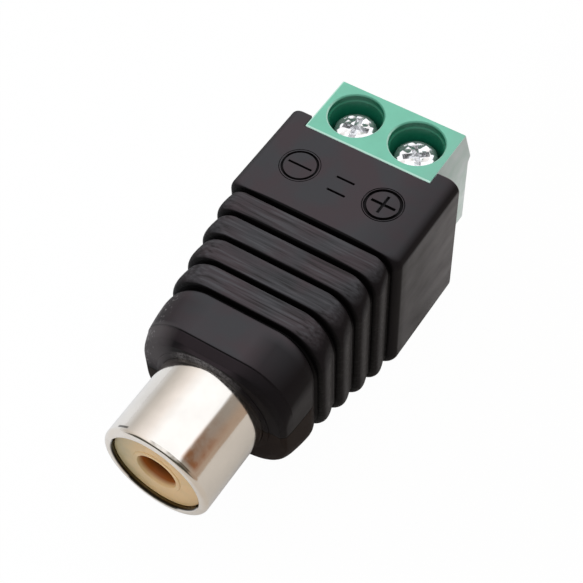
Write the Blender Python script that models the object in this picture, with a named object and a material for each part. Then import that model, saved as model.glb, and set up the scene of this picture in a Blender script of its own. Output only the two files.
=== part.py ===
"""Phono socket to two-way screw terminal adapter, in metres with +Z up.

The adapter lies on the flat underside of its moulded housing. X runs across the two poles, from
minus to plus, the socket faces -Y, and the wires go in from +Y. Every piece is a child of one empty
at the centre of the socket's mouth, so the sizes below are measured back from that mouth (along Y)
and up or down from the socket's axis (along Z).
"""
import math

import bmesh
import bpy
from mathutils import Matrix, Vector
from mathutils.geometry import interpolate_bezier

MM = 0.001

# Clearances
SEAT_GAP = 0.3 * MM          # between pieces that seat on each other
RUNNING_GAP = 0.12 * MM      # round what turns, slides or is soldered
CUT_OVERRUN = 1.0 * MM       # how far a cutter runs past the face that it opens

# Socket: a turned shell, its insulator and the sprung centre contact
SHELL_RADIUS = 4.17 * MM
SHELL_WALL = 0.72 * MM
SHELL_LIP_ROUND = 0.25 * MM
SHELL_LENGTH = 10.2 * MM
SHELL_EXPOSED = 6.7 * MM     # how much of the shell stands out of the housing
SHELL_FLANGE_RISE = 0.23 * MM
SHELL_FLANGE_LENGTH = 1.1 * MM
SHELL_REAR_WALL = 0.8 * MM
INSULATOR_RECESS = 0.5 * MM
INSULATOR_LIP = 1.2 * MM     # thickness of the front wall round the plug's pin
INSULATOR_WALL = 0.9 * MM    # between the shell and the contact's chamber
PLUG_PIN_BORE_CHAMFER = 0.12 * MM
REAR_INSULATOR_FLANGE = 1.2 * MM
REAR_INSULATOR_BOSS_RADIUS = 2.0 * MM
REAR_INSULATOR_BOSS_LENGTH = 2.1 * MM
CONTACT_WALL = 0.4 * MM
CONTACT_REAR_WALL = 0.6 * MM
CONTACT_SLOT_WIDTH = 0.35 * MM
CONTACT_SLOT_LENGTH = 3.8 * MM
CONTACT_TAIL_RADIUS = 0.6 * MM
CONTACT_TAIL_REACH = 3.0 * MM    # how far the tail stands out of the rear insulator
TAG_RADIUS = 3.4 * MM
TAG_THICKNESS = 0.4 * MM
TAG_TONGUE_WIDTH = 1.6 * MM
TAG_TONGUE_LENGTH = 3.0 * MM

# Moulded housing, a nose, rounded ribs and a plain box. Its walls are measured over the shell in
# front and over the block behind: at each side, above and below. Each section has round corners.
NOSE_EDGE_SIDE = 1.31 * MM   # the flat front face
NOSE_EDGE_ABOVE = 0.58 * MM
NOSE_EDGE_BELOW = 0.51 * MM
NOSE_EDGE_CORNER = 4.6 * MM
NOSE_EDGE_DEPTH = 0.26 * MM  # from the front face back to the nose's full tip
NOSE_TIP_SIDE = 1.59 * MM
NOSE_TIP_ABOVE = 1.08 * MM
NOSE_TIP_BELOW = 1.09 * MM
NOSE_TIP_CORNER = 4.15 * MM
NOSE_TOP_SLOPE_RUN = 1.0 * MM    # the nose's top slopes down to the front face
NOSE_TOP_SLOPE_DROP = 0.5 * MM
NOSE_ROOT_SIDE = 1.81 * MM
NOSE_ROOT_ABOVE = 1.08 * MM
NOSE_ROOT_BELOW = 1.57 * MM
NOSE_ROOT_UPPER_CORNER = 3.0 * MM
NOSE_ROOT_LOWER_CORNER = 3.2 * MM
RIB_LAST_SIDE = 2.13 * MM
RIB_LAST_ABOVE = 1.33 * MM
RIB_LAST_BELOW = 1.39 * MM
RIB_LAST_UPPER_CORNER = 2.9 * MM
RIB_LAST_LOWER_CORNER = 2.85 * MM
RIB_FIRST_SIDE_STEP = 0.25 * MM   # how far the first rib lies inside the box
RIB_FIRST_TOP_STEP = 0.05 * MM
RIB_FIRST_UNDER_STEP = 0.08 * MM
RIB_FIRST_UPPER_CORNER = 1.5 * MM
RIB_FIRST_LOWER_CORNER = 1.9 * MM
BOX_SIDE_WALL = 1.53 * MM
BOX_FLOOR_WALL = 2.63 * MM
BOX_RISE = 6.05 * MM         # from the socket's axis to the housing's flat top
BOX_UPPER_CORNER = 1.05 * MM
BOX_LOWER_CORNER = 1.65 * MM
GROOVE_SIDE_DEPTH = 0.45 * MM
GROOVE_TOP_DEPTH = 0.45 * MM
GROOVE_UNDER_DEPTH = 0.3 * MM
GROOVE_CORNER_LOSS = 0.2 * MM
GROOVE_FLOOR = 0.14 * MM     # width of a groove's flat floor
NOSE_LENGTH = 4.45 * MM
NOSE_ROUNDNESS = 1.39
RIB_COUNT = 4
RIB_PITCH = 2.07 * MM
RIB_ROUNDNESS = 1.9
RIB_LEAN = 0.45              # how far each rib's crest leans to the nose, from 0 to 0.5
RIB_SIDE_LEAD = 0.38 * MM    # how far the grooves come forward at the sides
SIDE_LEAD_POWER = 4          # and how closely that keeps to the sides
RIB_UNDER_LEAD = 0.18 * MM   # how much further they come forward underneath
LEAD_IN = 2.9 * MM           # over which they start to, in the nose
LEAD_OUT = 1.0 * MM          # and end, in the box
END_ROUND = 1.0 * MM         # over which the nose rounds off into its groove
BOX_FRONT_ROUND = 0.45 * MM  # over which the box rounds off into the first groove
BOX_LENGTH = 8.21 * MM
ARM_LENGTH = 1.1 * MM       # how far the housing's sides reach along the block
CAVITY_HALF_WIDTH = 4.3 * MM
CAVITY_HALF_HEIGHT = 3.7 * MM
CAVITY_CORNER = 1.0 * MM

# Terminal block, its screws and the clamps that they lift
POLE_PITCH = 5.08 * MM
BLOCK_END = 2.63 * MM        # from a screw's axis to the end of the block
BLOCK_HEIGHT = 10.0 * MM
BLOCK_TOP_DEPTH = 5.22 * MM
BLOCK_SLOPE_OUT = 1.17 * MM
BLOCK_SLOPE_DROP = 3.26 * MM
BLOCK_LEDGE_IN = 0.3 * MM
BLOCK_LEDGE_DROP = 0.4 * MM
SCREW_SETBACK = 2.73 * MM     # from the front edge of the block's top to the screws
WELL_RADIUS = 2.06 * MM
PARTITION = 0.8 * MM         # floor of a well, which carries the screw's head
HEAD_SINK = 1.5 * MM         # how far a screw's head lies below the block's top
HEAD_RADIUS = 1.55 * MM
HEAD_HEIGHT = 1.15 * MM
HEAD_CROWN = 0.12 * MM
HEAD_ROUND = 0.24 * MM
CROSS_LENGTH = 2.1 * MM
CROSS_WIDTH = 0.5 * MM
CROSS_DEPTH = 0.65 * MM
SHANK_RADIUS = 1.25 * MM
SHANK_TIP = 0.3 * MM
THREAD_LEAD = 0.45 * MM
SCREW_TURNS = 3.5            # from fully open to fully closed
CLAMP_WIDTH = 4.0 * MM
CLAMP_DEPTH = 3.6 * MM
CLAMP_SIDE = 0.5 * MM
CLAMP_ROOF = 0.9 * MM
CLAMP_FLOOR = 0.6 * MM
CLAMP_ROUND = 0.25 * MM
WIRE_GAP = 2.2 * MM          # between the contact bar and the open clamp's floor
WIRE_ENTRY_WIDTH = 3.4 * MM
WIRE_ENTRY_HEIGHT = 2.9 * MM
BAR_THICKNESS = 0.5 * MM
BAR_SIDE_GAP = 0.2 * MM      # from the bar to each side of the clamp
TAIL_WIDTH = 0.9 * MM
TAIL_REACH = 2.4 * MM        # how far a solder tail stands out of the block

# Leads between the block and the socket, and their solder joints
CORE_RADIUS = 0.35 * MM
JACKET_RADIUS = 0.75 * MM
BARE_END = 1.7 * MM
LEAD_STANDOFF = 0.4 * MM     # from the tip of a tail to the lead's jacket
LEAD_BEND = 0.45             # share of a lead's length that each of its two bends takes
SOLDER_LENGTH = 1.1 * MM
SOLDER_WALL = 0.3 * MM
SOLDER_ROUND = 0.24 * MM

# Facets
BORE_SIDES = 40
SCREW_SIDES = 24
WIRE_SIDES = 10
CORNER_STEPS = 6
FULL_CORNER = 0.98           # largest corner, as a share of the half section
NOSE_STEPS = 8
ROUND_STEPS = 4
RIB_STEPS = 10
CROWN_STEPS = 2
LEAD_STEPS = 10

# Stations along Y, from the socket's mouth
LAST_GROOVE_Y = SHELL_EXPOSED + NOSE_LENGTH
FIRST_GROOVE_Y = LAST_GROOVE_Y + RIB_COUNT * RIB_PITCH
HOUSING_REAR_Y = FIRST_GROOVE_Y + BOX_LENGTH
BLOCK_FRONT_Y = HOUSING_REAR_Y - ARM_LENGTH
BLOCK_TOP_REAR_Y = BLOCK_FRONT_Y + BLOCK_TOP_DEPTH
BLOCK_REAR_Y = BLOCK_TOP_REAR_Y + BLOCK_SLOPE_OUT
BLOCK_WALL_Y = BLOCK_REAR_Y - BLOCK_LEDGE_IN
BLOCK_SHOULDER_Y = BLOCK_FRONT_Y - BLOCK_SLOPE_OUT
SCREW_Y = BLOCK_FRONT_Y + SCREW_SETBACK
TAIL_TIP_Y = BLOCK_SHOULDER_Y - TAIL_REACH
FLANGE_SEAT_Y = SHELL_LENGTH - SHELL_FLANGE_LENGTH - SEAT_GAP
CAVITY_FRONT_Y = SHELL_LENGTH + SEAT_GAP
REAR_INSULATOR_SEAT_Y = SHELL_LENGTH - SHELL_REAR_WALL - SEAT_GAP
REAR_INSULATOR_FRONT_Y = REAR_INSULATOR_SEAT_Y - REAR_INSULATOR_FLANGE
BOSS_REAR_Y = REAR_INSULATOR_SEAT_Y + REAR_INSULATOR_BOSS_LENGTH
INSULATOR_REAR_Y = REAR_INSULATOR_FRONT_Y - SEAT_GAP
CONTACT_FRONT_Y = INSULATOR_RECESS + INSULATOR_LIP + SEAT_GAP
CONTACT_REAR_Y = INSULATOR_REAR_Y
CONTACT_TIP_Y = BOSS_REAR_Y + CONTACT_TAIL_REACH
TAG_FRONT_Y = SHELL_LENGTH + SEAT_GAP
TAG_TIP_Y = TAG_FRONT_Y + TAG_THICKNESS + TAG_TONGUE_LENGTH

# Radii that follow from what they hold
SHELL_BORE_RADIUS = SHELL_RADIUS - SHELL_WALL
SHELL_FLANGE_RADIUS = SHELL_RADIUS + SHELL_FLANGE_RISE
INSULATOR_RADIUS = SHELL_BORE_RADIUS - SEAT_GAP
CONTACT_CHAMBER_RADIUS = INSULATOR_RADIUS - INSULATOR_WALL
CONTACT_RADIUS = CONTACT_CHAMBER_RADIUS - SEAT_GAP
CONTACT_BORE_RADIUS = CONTACT_RADIUS - CONTACT_WALL
BOSS_HOLE_RADIUS = REAR_INSULATOR_BOSS_RADIUS + SEAT_GAP
HOUSING_BORE_RADIUS = SHELL_RADIUS + SEAT_GAP
FLANGE_SEAT_RADIUS = SHELL_FLANGE_RADIUS + SEAT_GAP

# Heights from the socket's axis, with the clamps fully open
BLOCK_TOP_Z = BOX_RISE
BLOCK_BOTTOM_Z = BLOCK_TOP_Z - BLOCK_HEIGHT
BLOCK_SLOPE_Z = BLOCK_TOP_Z - BLOCK_SLOPE_DROP
HEAD_TOP_Z = BLOCK_TOP_Z - HEAD_SINK
HEAD_SEAT_Z = HEAD_TOP_Z - HEAD_HEIGHT
WELL_FLOOR_Z = HEAD_SEAT_Z - RUNNING_GAP
CELL_ROOF_Z = WELL_FLOOR_Z - PARTITION
CLAMP_TRAVEL = SCREW_TURNS * THREAD_LEAD
CLAMP_TOP_Z = CELL_ROOF_Z - RUNNING_GAP - CLAMP_TRAVEL
WINDOW_TOP_Z = CLAMP_TOP_Z - CLAMP_ROOF
BAR_TOP_Z = WINDOW_TOP_Z - RUNNING_GAP
BAR_BOTTOM_Z = BAR_TOP_Z - BAR_THICKNESS
WINDOW_FLOOR_Z = BAR_BOTTOM_Z - WIRE_GAP
CLAMP_BOTTOM_Z = WINDOW_FLOOR_Z - CLAMP_FLOOR
WIRE_ENTRY_TOP_Z = BAR_BOTTOM_Z + RUNNING_GAP

# Widths across the poles
BLOCK_HALF_WIDTH = POLE_PITCH / 2 + BLOCK_END
CELL_HALF_WIDTH = CLAMP_WIDTH / 2 + RUNNING_GAP
CELL_HALF_DEPTH = CLAMP_DEPTH / 2 + RUNNING_GAP
BAR_WIDTH = CLAMP_WIDTH - 2 * CLAMP_SIDE - 2 * BAR_SIDE_GAP
POLES = (("minus", -POLE_PITCH / 2), ("plus", POLE_PITCH / 2))

# Sections of the moulding: half width, rise above the socket's axis, drop below it, and the radii
# of the upper and the lower corners
NOSE_EDGE = (SHELL_RADIUS + NOSE_EDGE_SIDE, SHELL_RADIUS + NOSE_EDGE_ABOVE,
             SHELL_RADIUS + NOSE_EDGE_BELOW, NOSE_EDGE_CORNER, NOSE_EDGE_CORNER)
NOSE_TIP = (SHELL_RADIUS + NOSE_TIP_SIDE, SHELL_RADIUS + NOSE_TIP_ABOVE, SHELL_RADIUS + NOSE_TIP_BELOW,
            NOSE_TIP_CORNER, NOSE_TIP_CORNER)
NOSE_ROOT = (SHELL_RADIUS + NOSE_ROOT_SIDE, SHELL_RADIUS + NOSE_ROOT_ABOVE,
             SHELL_RADIUS + NOSE_ROOT_BELOW, NOSE_ROOT_UPPER_CORNER, NOSE_ROOT_LOWER_CORNER)
RIB_LAST = (SHELL_RADIUS + RIB_LAST_SIDE, SHELL_RADIUS + RIB_LAST_ABOVE, SHELL_RADIUS + RIB_LAST_BELOW,
            RIB_LAST_UPPER_CORNER, RIB_LAST_LOWER_CORNER)
BOX_SECTION = (BLOCK_HALF_WIDTH + SEAT_GAP + BOX_SIDE_WALL, BOX_RISE,
               BOX_FLOOR_WALL + SEAT_GAP - BLOCK_BOTTOM_Z, BOX_UPPER_CORNER, BOX_LOWER_CORNER)
RIB_FIRST = (BOX_SECTION[0] - RIB_FIRST_SIDE_STEP, BOX_RISE - RIB_FIRST_TOP_STEP,
             BOX_SECTION[2] - RIB_FIRST_UNDER_STEP, RIB_FIRST_UPPER_CORNER, RIB_FIRST_LOWER_CORNER)
GROOVE_DEPTH = (GROOVE_SIDE_DEPTH, GROOVE_TOP_DEPTH, GROOVE_UNDER_DEPTH, GROOVE_CORNER_LOSS,
                GROOVE_CORNER_LOSS)


def clear_scene():
    """Remove what the new file came with."""
    for thing in list(bpy.data.objects):
        bpy.data.objects.remove(thing)


def finish(name, colour, roughness, metallic=0.0):
    """A plain Principled material."""
    material = bpy.data.materials.new(name)
    material.use_nodes = True
    shader = material.node_tree.nodes["Principled BSDF"]
    shader.inputs["Base Color"].default_value = (*colour, 1.0)
    shader.inputs["Roughness"].default_value = roughness
    shader.inputs["Metallic"].default_value = metallic
    return material


def place(name, shape, adapter, location=(0, 0, 0), material=None, smooth_angle=40):
    """Turn a bmesh into an object that is a child of the adapter."""
    bmesh.ops.recalc_face_normals(shape, faces=shape.faces)
    mesh = bpy.data.meshes.new(name)
    shape.to_mesh(mesh)
    shape.free()
    mesh.shade_smooth()
    mesh.set_sharp_from_angle(angle=math.radians(smooth_angle))
    thing = bpy.data.objects.new(name, mesh)
    bpy.context.collection.objects.link(thing)
    thing.parent = adapter
    thing.location = location
    if material:
        mesh.materials.append(material)
    return thing


def cut(thing, cutter):
    """Take the cutter's shape out of a piece, and leave the cutter as a wire guide."""
    cutter.hide_render = True
    cutter.display_type = "WIRE"
    modifier = thing.modifiers.new(cutter.name, "BOOLEAN")
    modifier.operation = "DIFFERENCE"
    modifier.solver = "EXACT"
    modifier.object = cutter


def soften(thing, width, angle=30):
    """Round a piece's edges with one facet."""
    modifier = thing.modifiers.new("edges", "BEVEL")
    modifier.width = width
    modifier.segments = 1
    modifier.limit_method = "ANGLE"
    modifier.angle_limit = math.radians(angle)


def block_between(low, high):
    """A box between two corners."""
    shape = bmesh.new()
    low, high = Vector(low), Vector(high)
    middle = Matrix.Translation((low + high) / 2)
    bmesh.ops.create_cube(shape, size=1.0, matrix=middle @ Matrix.Diagonal((*(high - low), 1.0)))
    return shape


def turned(profile, sides, axis="Y"):
    """Spin a closed profile of (radius, station) points round the Y or the Z axis."""
    shape = bmesh.new()
    along_y = axis == "Y"
    corners = [shape.verts.new((r, s, 0) if along_y else (r, 0, s)) for r, s in profile]
    rim = [shape.edges.new((a, b)) for a, b in zip(corners, corners[1:] + corners[:1])]
    spindle = (0, 1, 0) if along_y else (0, 0, 1)
    bmesh.ops.spin(shape, geom=corners + rim, cent=(0, 0, 0), axis=spindle, angle=math.tau,
                   steps=sides, use_merge=True)
    bmesh.ops.remove_doubles(shape, verts=shape.verts, dist=0.001 * MM)
    bmesh.ops.dissolve_degenerate(shape, edges=shape.edges, dist=0.001 * MM)
    flat = [edge for edge in shape.edges if not edge.link_faces]
    bmesh.ops.delete(shape, geom=flat, context="EDGES")
    return shape


def rod(radius, start, end, sides=BORE_SIDES, axis="Y"):
    """A plain cylinder between two stations of an axis."""
    shape = bmesh.new()
    lift = Matrix.Translation((0, 0, (start + end) / 2))
    turn = Matrix.Rotation(math.radians(-90), 4, "X") if axis == "Y" else Matrix.Identity(4)
    bmesh.ops.create_cone(shape, cap_ends=True, segments=sides, radius1=radius, radius2=radius,
                          depth=end - start, matrix=turn @ lift)
    return shape


def extruded(outline, start, end, to_point):
    """Sweep a closed outline straight from one station to another."""
    shape = bmesh.new()
    face = shape.faces.new([shape.verts.new(to_point(a, b, start)) for a, b in outline])
    grown = bmesh.ops.extrude_face_region(shape, geom=[face])["geom"]
    moved = [item for item in grown if isinstance(item, bmesh.types.BMVert)]
    shift = Vector(to_point(0, 0, end)) - Vector(to_point(0, 0, start))
    bmesh.ops.translate(shape, verts=moved, vec=shift)
    return shape


def rounded_ring(half_width, top, bottom, upper, lower, steps=CORNER_STEPS):
    """Points of a rectangle with round upper and lower corners, as (x, z) pairs."""
    most = min(half_width, (top + bottom) / 2) * FULL_CORNER
    upper, lower = min(upper, most), min(lower, most)
    corners = ((1, top - upper, upper, 0), (-1, top - upper, upper, 90),
               (-1, lower - bottom, lower, 180), (1, lower - bottom, lower, 270))
    points = []
    for side, centre_z, corner, start in corners:
        for step in range(steps + 1):
            turn = math.radians(start + 90 * step / steps)
            points.append((side * (half_width - corner) + corner * math.cos(turn),
                           centre_z + corner * math.sin(turn)))
    return points


def led_forward(x, z, station, section):
    """How far a point of the ribbed part comes forward, more at its sides and underneath."""
    half_width, rise, drop = section[:3]
    onset = (station - LAST_GROOVE_Y) / LEAD_IN + 1
    ending = (FIRST_GROOVE_Y - station) / LEAD_OUT + 1
    share = max(0.0, min(1.0, onset)) * max(0.0, min(1.0, ending))
    sideways = RIB_SIDE_LEAD * abs(x / half_width) ** SIDE_LEAD_POWER
    return share * (sideways + RIB_UNDER_LEAD * (rise - z) / (rise + drop))


def lofted(sections):
    """Skin a list of (station, section) pairs along Y and close both ends."""
    shape = bmesh.new()
    rings = []
    for station, section in sections:
        ring = [shape.verts.new((x, station - led_forward(x, z, station, section), z))
                for x, z in rounded_ring(*section)]
        rings.append(ring)
    for ring, following in zip(rings, rings[1:]):
        for index in range(len(ring)):
            after = (index + 1) % len(ring)
            shape.faces.new((ring[index], ring[after], following[after], following[index]))
    shape.faces.new(rings[0])
    shape.faces.new(rings[-1])
    return shape


def swept(path, outer, inner=0.0, sides=WIRE_SIDES):
    """A round wire along a path, or a tube where an inner radius is given."""
    shape = bmesh.new()
    loops = []
    for index, point in enumerate(path):
        before, after = path[max(index - 1, 0)], path[min(index + 1, len(path) - 1)]
        heading = (after - before).normalized()
        across = heading.cross(Vector((0, 0, 1))).normalized()
        upward = across.cross(heading)
        spokes = [across * math.cos(turn) + upward * math.sin(turn)
                  for turn in (math.tau * side / sides for side in range(sides))]
        loops.append([[shape.verts.new(point + spoke * radius) for spoke in spokes]
                      for radius in ((outer, inner) if inner else (outer,))])
    for near, far in zip(loops, loops[1:]):
        for ring, following in zip(near, far):
            for side in range(sides):
                after = (side + 1) % sides
                shape.faces.new((ring[side], ring[after], following[after], following[side]))
    for end in (loops[0], loops[-1]):
        if not inner:
            shape.faces.new(end[0])
            continue
        for side in range(sides):
            after = (side + 1) % sides
            shape.faces.new((end[0][side], end[0][after], end[1][after], end[1][side]))
    return shape


def mix(start, end, share):
    """Blend two sections."""
    return tuple(a + (b - a) * share for a, b in zip(start, end))


def sunk(section, share):
    """A section drawn in by a share of the groove's depth."""
    return tuple(size - depth * share for size, depth in zip(section, GROOVE_DEPTH))


def fullness(share, roundness):
    """How full a rounded rib is, from 0 in its groove to 1 at its crest."""
    return (1 - min(1.0, abs(share)) ** roundness) ** (1 / roundness)


def eased(steps):
    """Shares from 0 to 1 that start slowly and end fast."""
    return [1 - math.cos(math.pi / 2 * step / steps) for step in range(steps + 1)]


def under_slope(station, section):
    """A section of the nose with its top brought down to the slope over the front face."""
    share = max(0.0, 1 - (station - SHELL_EXPOSED) / NOSE_TOP_SLOPE_RUN)
    half_width, rise, *others = section
    return (half_width, rise - share * NOSE_TOP_SLOPE_DROP, *others)


def nose_sections():
    """The nose swells from its front face, under a sloped top, and dips into its groove."""
    rear, tip = LAST_GROOVE_Y - GROOVE_FLOOR / 2, SHELL_EXPOSED + NOSE_EDGE_DEPTH
    swell_length = rear - END_ROUND - tip
    sections = [(SHELL_EXPOSED, NOSE_EDGE)]
    for share in eased(NOSE_STEPS):
        station = tip + share * swell_length
        swell = math.sqrt(1 - (1 - share) ** NOSE_ROUNDNESS)
        sections.append((station, under_slope(station, mix(NOSE_TIP, NOSE_ROOT, swell))))
    for share in reversed(eased(ROUND_STEPS)[:-1]):
        hollow = 1 - fullness(1 - share, RIB_ROUNDNESS)
        sections.append((rear - share * END_ROUND, sunk(NOSE_ROOT, hollow)))
    return sections


def rib_crest(station):
    """The section over the ribs' crests, which grows from the nose to the box."""
    first = FIRST_GROOVE_Y - RIB_PITCH / 2
    last = LAST_GROOVE_Y + RIB_PITCH / 2
    return mix(RIB_LAST, RIB_FIRST, (station - last) / (first - last))


def rib_sections():
    """Each rib is a rounded bead that leans forward, between two grooves with flat floors."""
    sections = []
    for rib in range(RIB_COUNT):
        middle = LAST_GROOVE_Y + RIB_PITCH / 2 + rib * RIB_PITCH
        for step in range(RIB_STEPS + 1):
            share = -math.cos(math.pi * step / RIB_STEPS)
            station = middle + share * (RIB_PITCH - GROOVE_FLOOR) / 2
            leaning = share + RIB_LEAN * (1 - share ** 2)
            sections.append((station, sunk(rib_crest(station), 1 - fullness(leaning, RIB_ROUNDNESS))))
    return sections


def box_sections():
    """The plain box rises out of the first groove and runs to the rear."""
    floor = sunk(rib_crest(FIRST_GROOVE_Y), 1.0)
    front = FIRST_GROOVE_Y + GROOVE_FLOOR / 2
    sections = []
    for share in eased(ROUND_STEPS):
        rise = fullness(1 - share, RIB_ROUNDNESS)
        sections.append((front + share * BOX_FRONT_ROUND, mix(floor, BOX_SECTION, rise)))
    sections.append((HOUSING_REAR_Y, BOX_SECTION))
    return sections


def block_profile():
    """The terminal block seen from its end, as (y, z) points."""
    return [(BLOCK_SHOULDER_Y, BLOCK_BOTTOM_Z), (BLOCK_WALL_Y, BLOCK_BOTTOM_Z),
            (BLOCK_WALL_Y, BLOCK_SLOPE_Z - BLOCK_LEDGE_DROP), (BLOCK_REAR_Y, BLOCK_SLOPE_Z),
            (BLOCK_TOP_REAR_Y, BLOCK_TOP_Z), (BLOCK_FRONT_Y, BLOCK_TOP_Z),
            (BLOCK_SHOULDER_Y, BLOCK_SLOPE_Z)]


def pocket_profile():
    """The pocket that holds the block's front, open above and behind."""
    rear, above = HOUSING_REAR_Y + CUT_OVERRUN, BLOCK_TOP_Z + CUT_OVERRUN
    return [(BLOCK_SHOULDER_Y - SEAT_GAP, BLOCK_BOTTOM_Z - SEAT_GAP), (rear, BLOCK_BOTTOM_Z - SEAT_GAP),
            (rear, above), (BLOCK_FRONT_Y - SEAT_GAP, above), (BLOCK_FRONT_Y - SEAT_GAP, BLOCK_TOP_Z),
            (BLOCK_SHOULDER_Y - SEAT_GAP, BLOCK_SLOPE_Z)]


def across_x(y, z, station):
    """Place an outline drawn in Y and Z at a station of X."""
    return (station, y, z)


def up_z(x, y, station):
    """Place an outline drawn in X and Y at a station of Z."""
    return (x, y, station)


def along_y(x, z, station):
    """Place an outline drawn in X and Z at a station of Y."""
    return (x, station, z)


def make_housing(adapter, plastic):
    """The ribbed moulding, with its bore, the flange's seat, the cavity and the block's pocket."""
    sections = nose_sections() + rib_sections() + box_sections()
    housing = place("housing", lofted(sections), adapter, material=plastic, smooth_angle=50)
    half = BLOCK_HALF_WIDTH + SEAT_GAP
    hollows = {
        "cut_bore": rod(HOUSING_BORE_RADIUS, SHELL_EXPOSED - CUT_OVERRUN, FLANGE_SEAT_Y + SEAT_GAP),
        "cut_flange_seat": rod(FLANGE_SEAT_RADIUS, FLANGE_SEAT_Y, CAVITY_FRONT_Y),
        "cut_cavity": extruded(
            rounded_ring(CAVITY_HALF_WIDTH, CAVITY_HALF_HEIGHT, CAVITY_HALF_HEIGHT, CAVITY_CORNER,
                         CAVITY_CORNER, 3),
            CAVITY_FRONT_Y - SEAT_GAP, BLOCK_SHOULDER_Y, along_y),
        "cut_pocket": extruded(pocket_profile(), -half, half, across_x),
    }
    for name, shape in hollows.items():
        cut(housing, place(name, shape, adapter))


def make_shell(adapter, nickel):
    """The turned shell, open in front, with a rear wall and the flange that the moulding grips."""
    outer, inner, lip = SHELL_RADIUS, SHELL_BORE_RADIUS, SHELL_LIP_ROUND
    flange_front = SHELL_LENGTH - SHELL_FLANGE_LENGTH
    rounded = [(outer - lip + lip * math.sin(turn), lip - lip * math.cos(turn))
               for turn in (math.radians(angle) for angle in (0, 30, 60, 90))]
    profile = [(inner, 0.0)] + rounded + [
        (outer, flange_front), (SHELL_FLANGE_RADIUS, flange_front), (SHELL_FLANGE_RADIUS, SHELL_LENGTH),
        (BOSS_HOLE_RADIUS, SHELL_LENGTH), (BOSS_HOLE_RADIUS, SHELL_LENGTH - SHELL_REAR_WALL),
        (inner, SHELL_LENGTH - SHELL_REAR_WALL)]
    place("jack_shell", turned(profile, BORE_SIDES), adapter, material=nickel)


def make_insulators(adapter, cream):
    """The front insulator, a sleeve with a lip, and the stepped washer that closes it behind."""
    front, pin, chamfer = INSULATOR_RECESS, CONTACT_BORE_RADIUS, PLUG_PIN_BORE_CHAMFER
    chamber = CONTACT_CHAMBER_RADIUS
    sleeve = [(pin + chamfer, front), (INSULATOR_RADIUS, front), (INSULATOR_RADIUS, INSULATOR_REAR_Y),
              (chamber, INSULATOR_REAR_Y), (chamber, front + INSULATOR_LIP), (pin, front + INSULATOR_LIP),
              (pin, front + chamfer)]
    place("jack_insulator", turned(sleeve, BORE_SIDES), adapter, material=cream)
    hole = CONTACT_TAIL_RADIUS + RUNNING_GAP
    washer = [(hole, REAR_INSULATOR_FRONT_Y), (INSULATOR_RADIUS, REAR_INSULATOR_FRONT_Y),
              (INSULATOR_RADIUS, REAR_INSULATOR_SEAT_Y),
              (REAR_INSULATOR_BOSS_RADIUS, REAR_INSULATOR_SEAT_Y),
              (REAR_INSULATOR_BOSS_RADIUS, BOSS_REAR_Y), (hole, BOSS_REAR_Y)]
    place("rear_insulator", turned(washer, SCREW_SIDES), adapter, material=cream)


def make_centre_contact(adapter, brass):
    """The slotted tube that grips the plug's pin, with its solder tail."""
    tip_y, mouth_y = CONTACT_FRONT_Y, CONTACT_FRONT_Y + CONTACT_WALL / 2
    floor_y = CONTACT_REAR_Y - CONTACT_REAR_WALL
    profile = [(CONTACT_RADIUS - CONTACT_WALL / 2, tip_y), (CONTACT_RADIUS, mouth_y),
               (CONTACT_RADIUS, CONTACT_REAR_Y), (CONTACT_TAIL_RADIUS, CONTACT_REAR_Y),
               (CONTACT_TAIL_RADIUS, CONTACT_TIP_Y), (0, CONTACT_TIP_Y),
               (0, floor_y), (CONTACT_BORE_RADIUS, floor_y), (CONTACT_BORE_RADIUS, mouth_y)]
    contact = place("centre_contact", turned(profile, SCREW_SIDES), adapter, material=brass)
    reach, half = CONTACT_RADIUS + CUT_OVERRUN, CONTACT_SLOT_WIDTH / 2
    front, rear = CONTACT_FRONT_Y - CUT_OVERRUN, CONTACT_FRONT_Y + CONTACT_SLOT_LENGTH
    for name, wide, high in (("cut_level_slot", reach, half), ("cut_upright_slot", half, reach)):
        cut(contact, place(name, block_between((-wide, front, -high), (wide, rear, high)), adapter))


def make_ground_tag(adapter, tinned):
    """A ring behind the shell, with a tongue bent back for the minus lead."""
    behind = TAG_FRONT_Y + TAG_THICKNESS
    ring = turned([(BOSS_HOLE_RADIUS, TAG_FRONT_Y), (TAG_RADIUS, TAG_FRONT_Y), (TAG_RADIUS, behind),
                   (BOSS_HOLE_RADIUS, behind)], BORE_SIDES)
    tag = place("ground_tag", ring, adapter, material=tinned)
    half = TAG_TONGUE_WIDTH / 2
    low = (tongue_x() - TAG_THICKNESS / 2, TAG_FRONT_Y + TAG_THICKNESS / 2, -half)
    high = (tongue_x() + TAG_THICKNESS / 2, TAG_TIP_Y, half)
    tongue = place("join_tongue", block_between(low, high), adapter)
    cut(tag, tongue)
    tag.modifiers[-1].operation = "UNION"


def tongue_x():
    """The tongue stands on the middle of the ring's band, on the minus side."""
    return -(BOSS_HOLE_RADIUS + TAG_RADIUS) / 2


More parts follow.
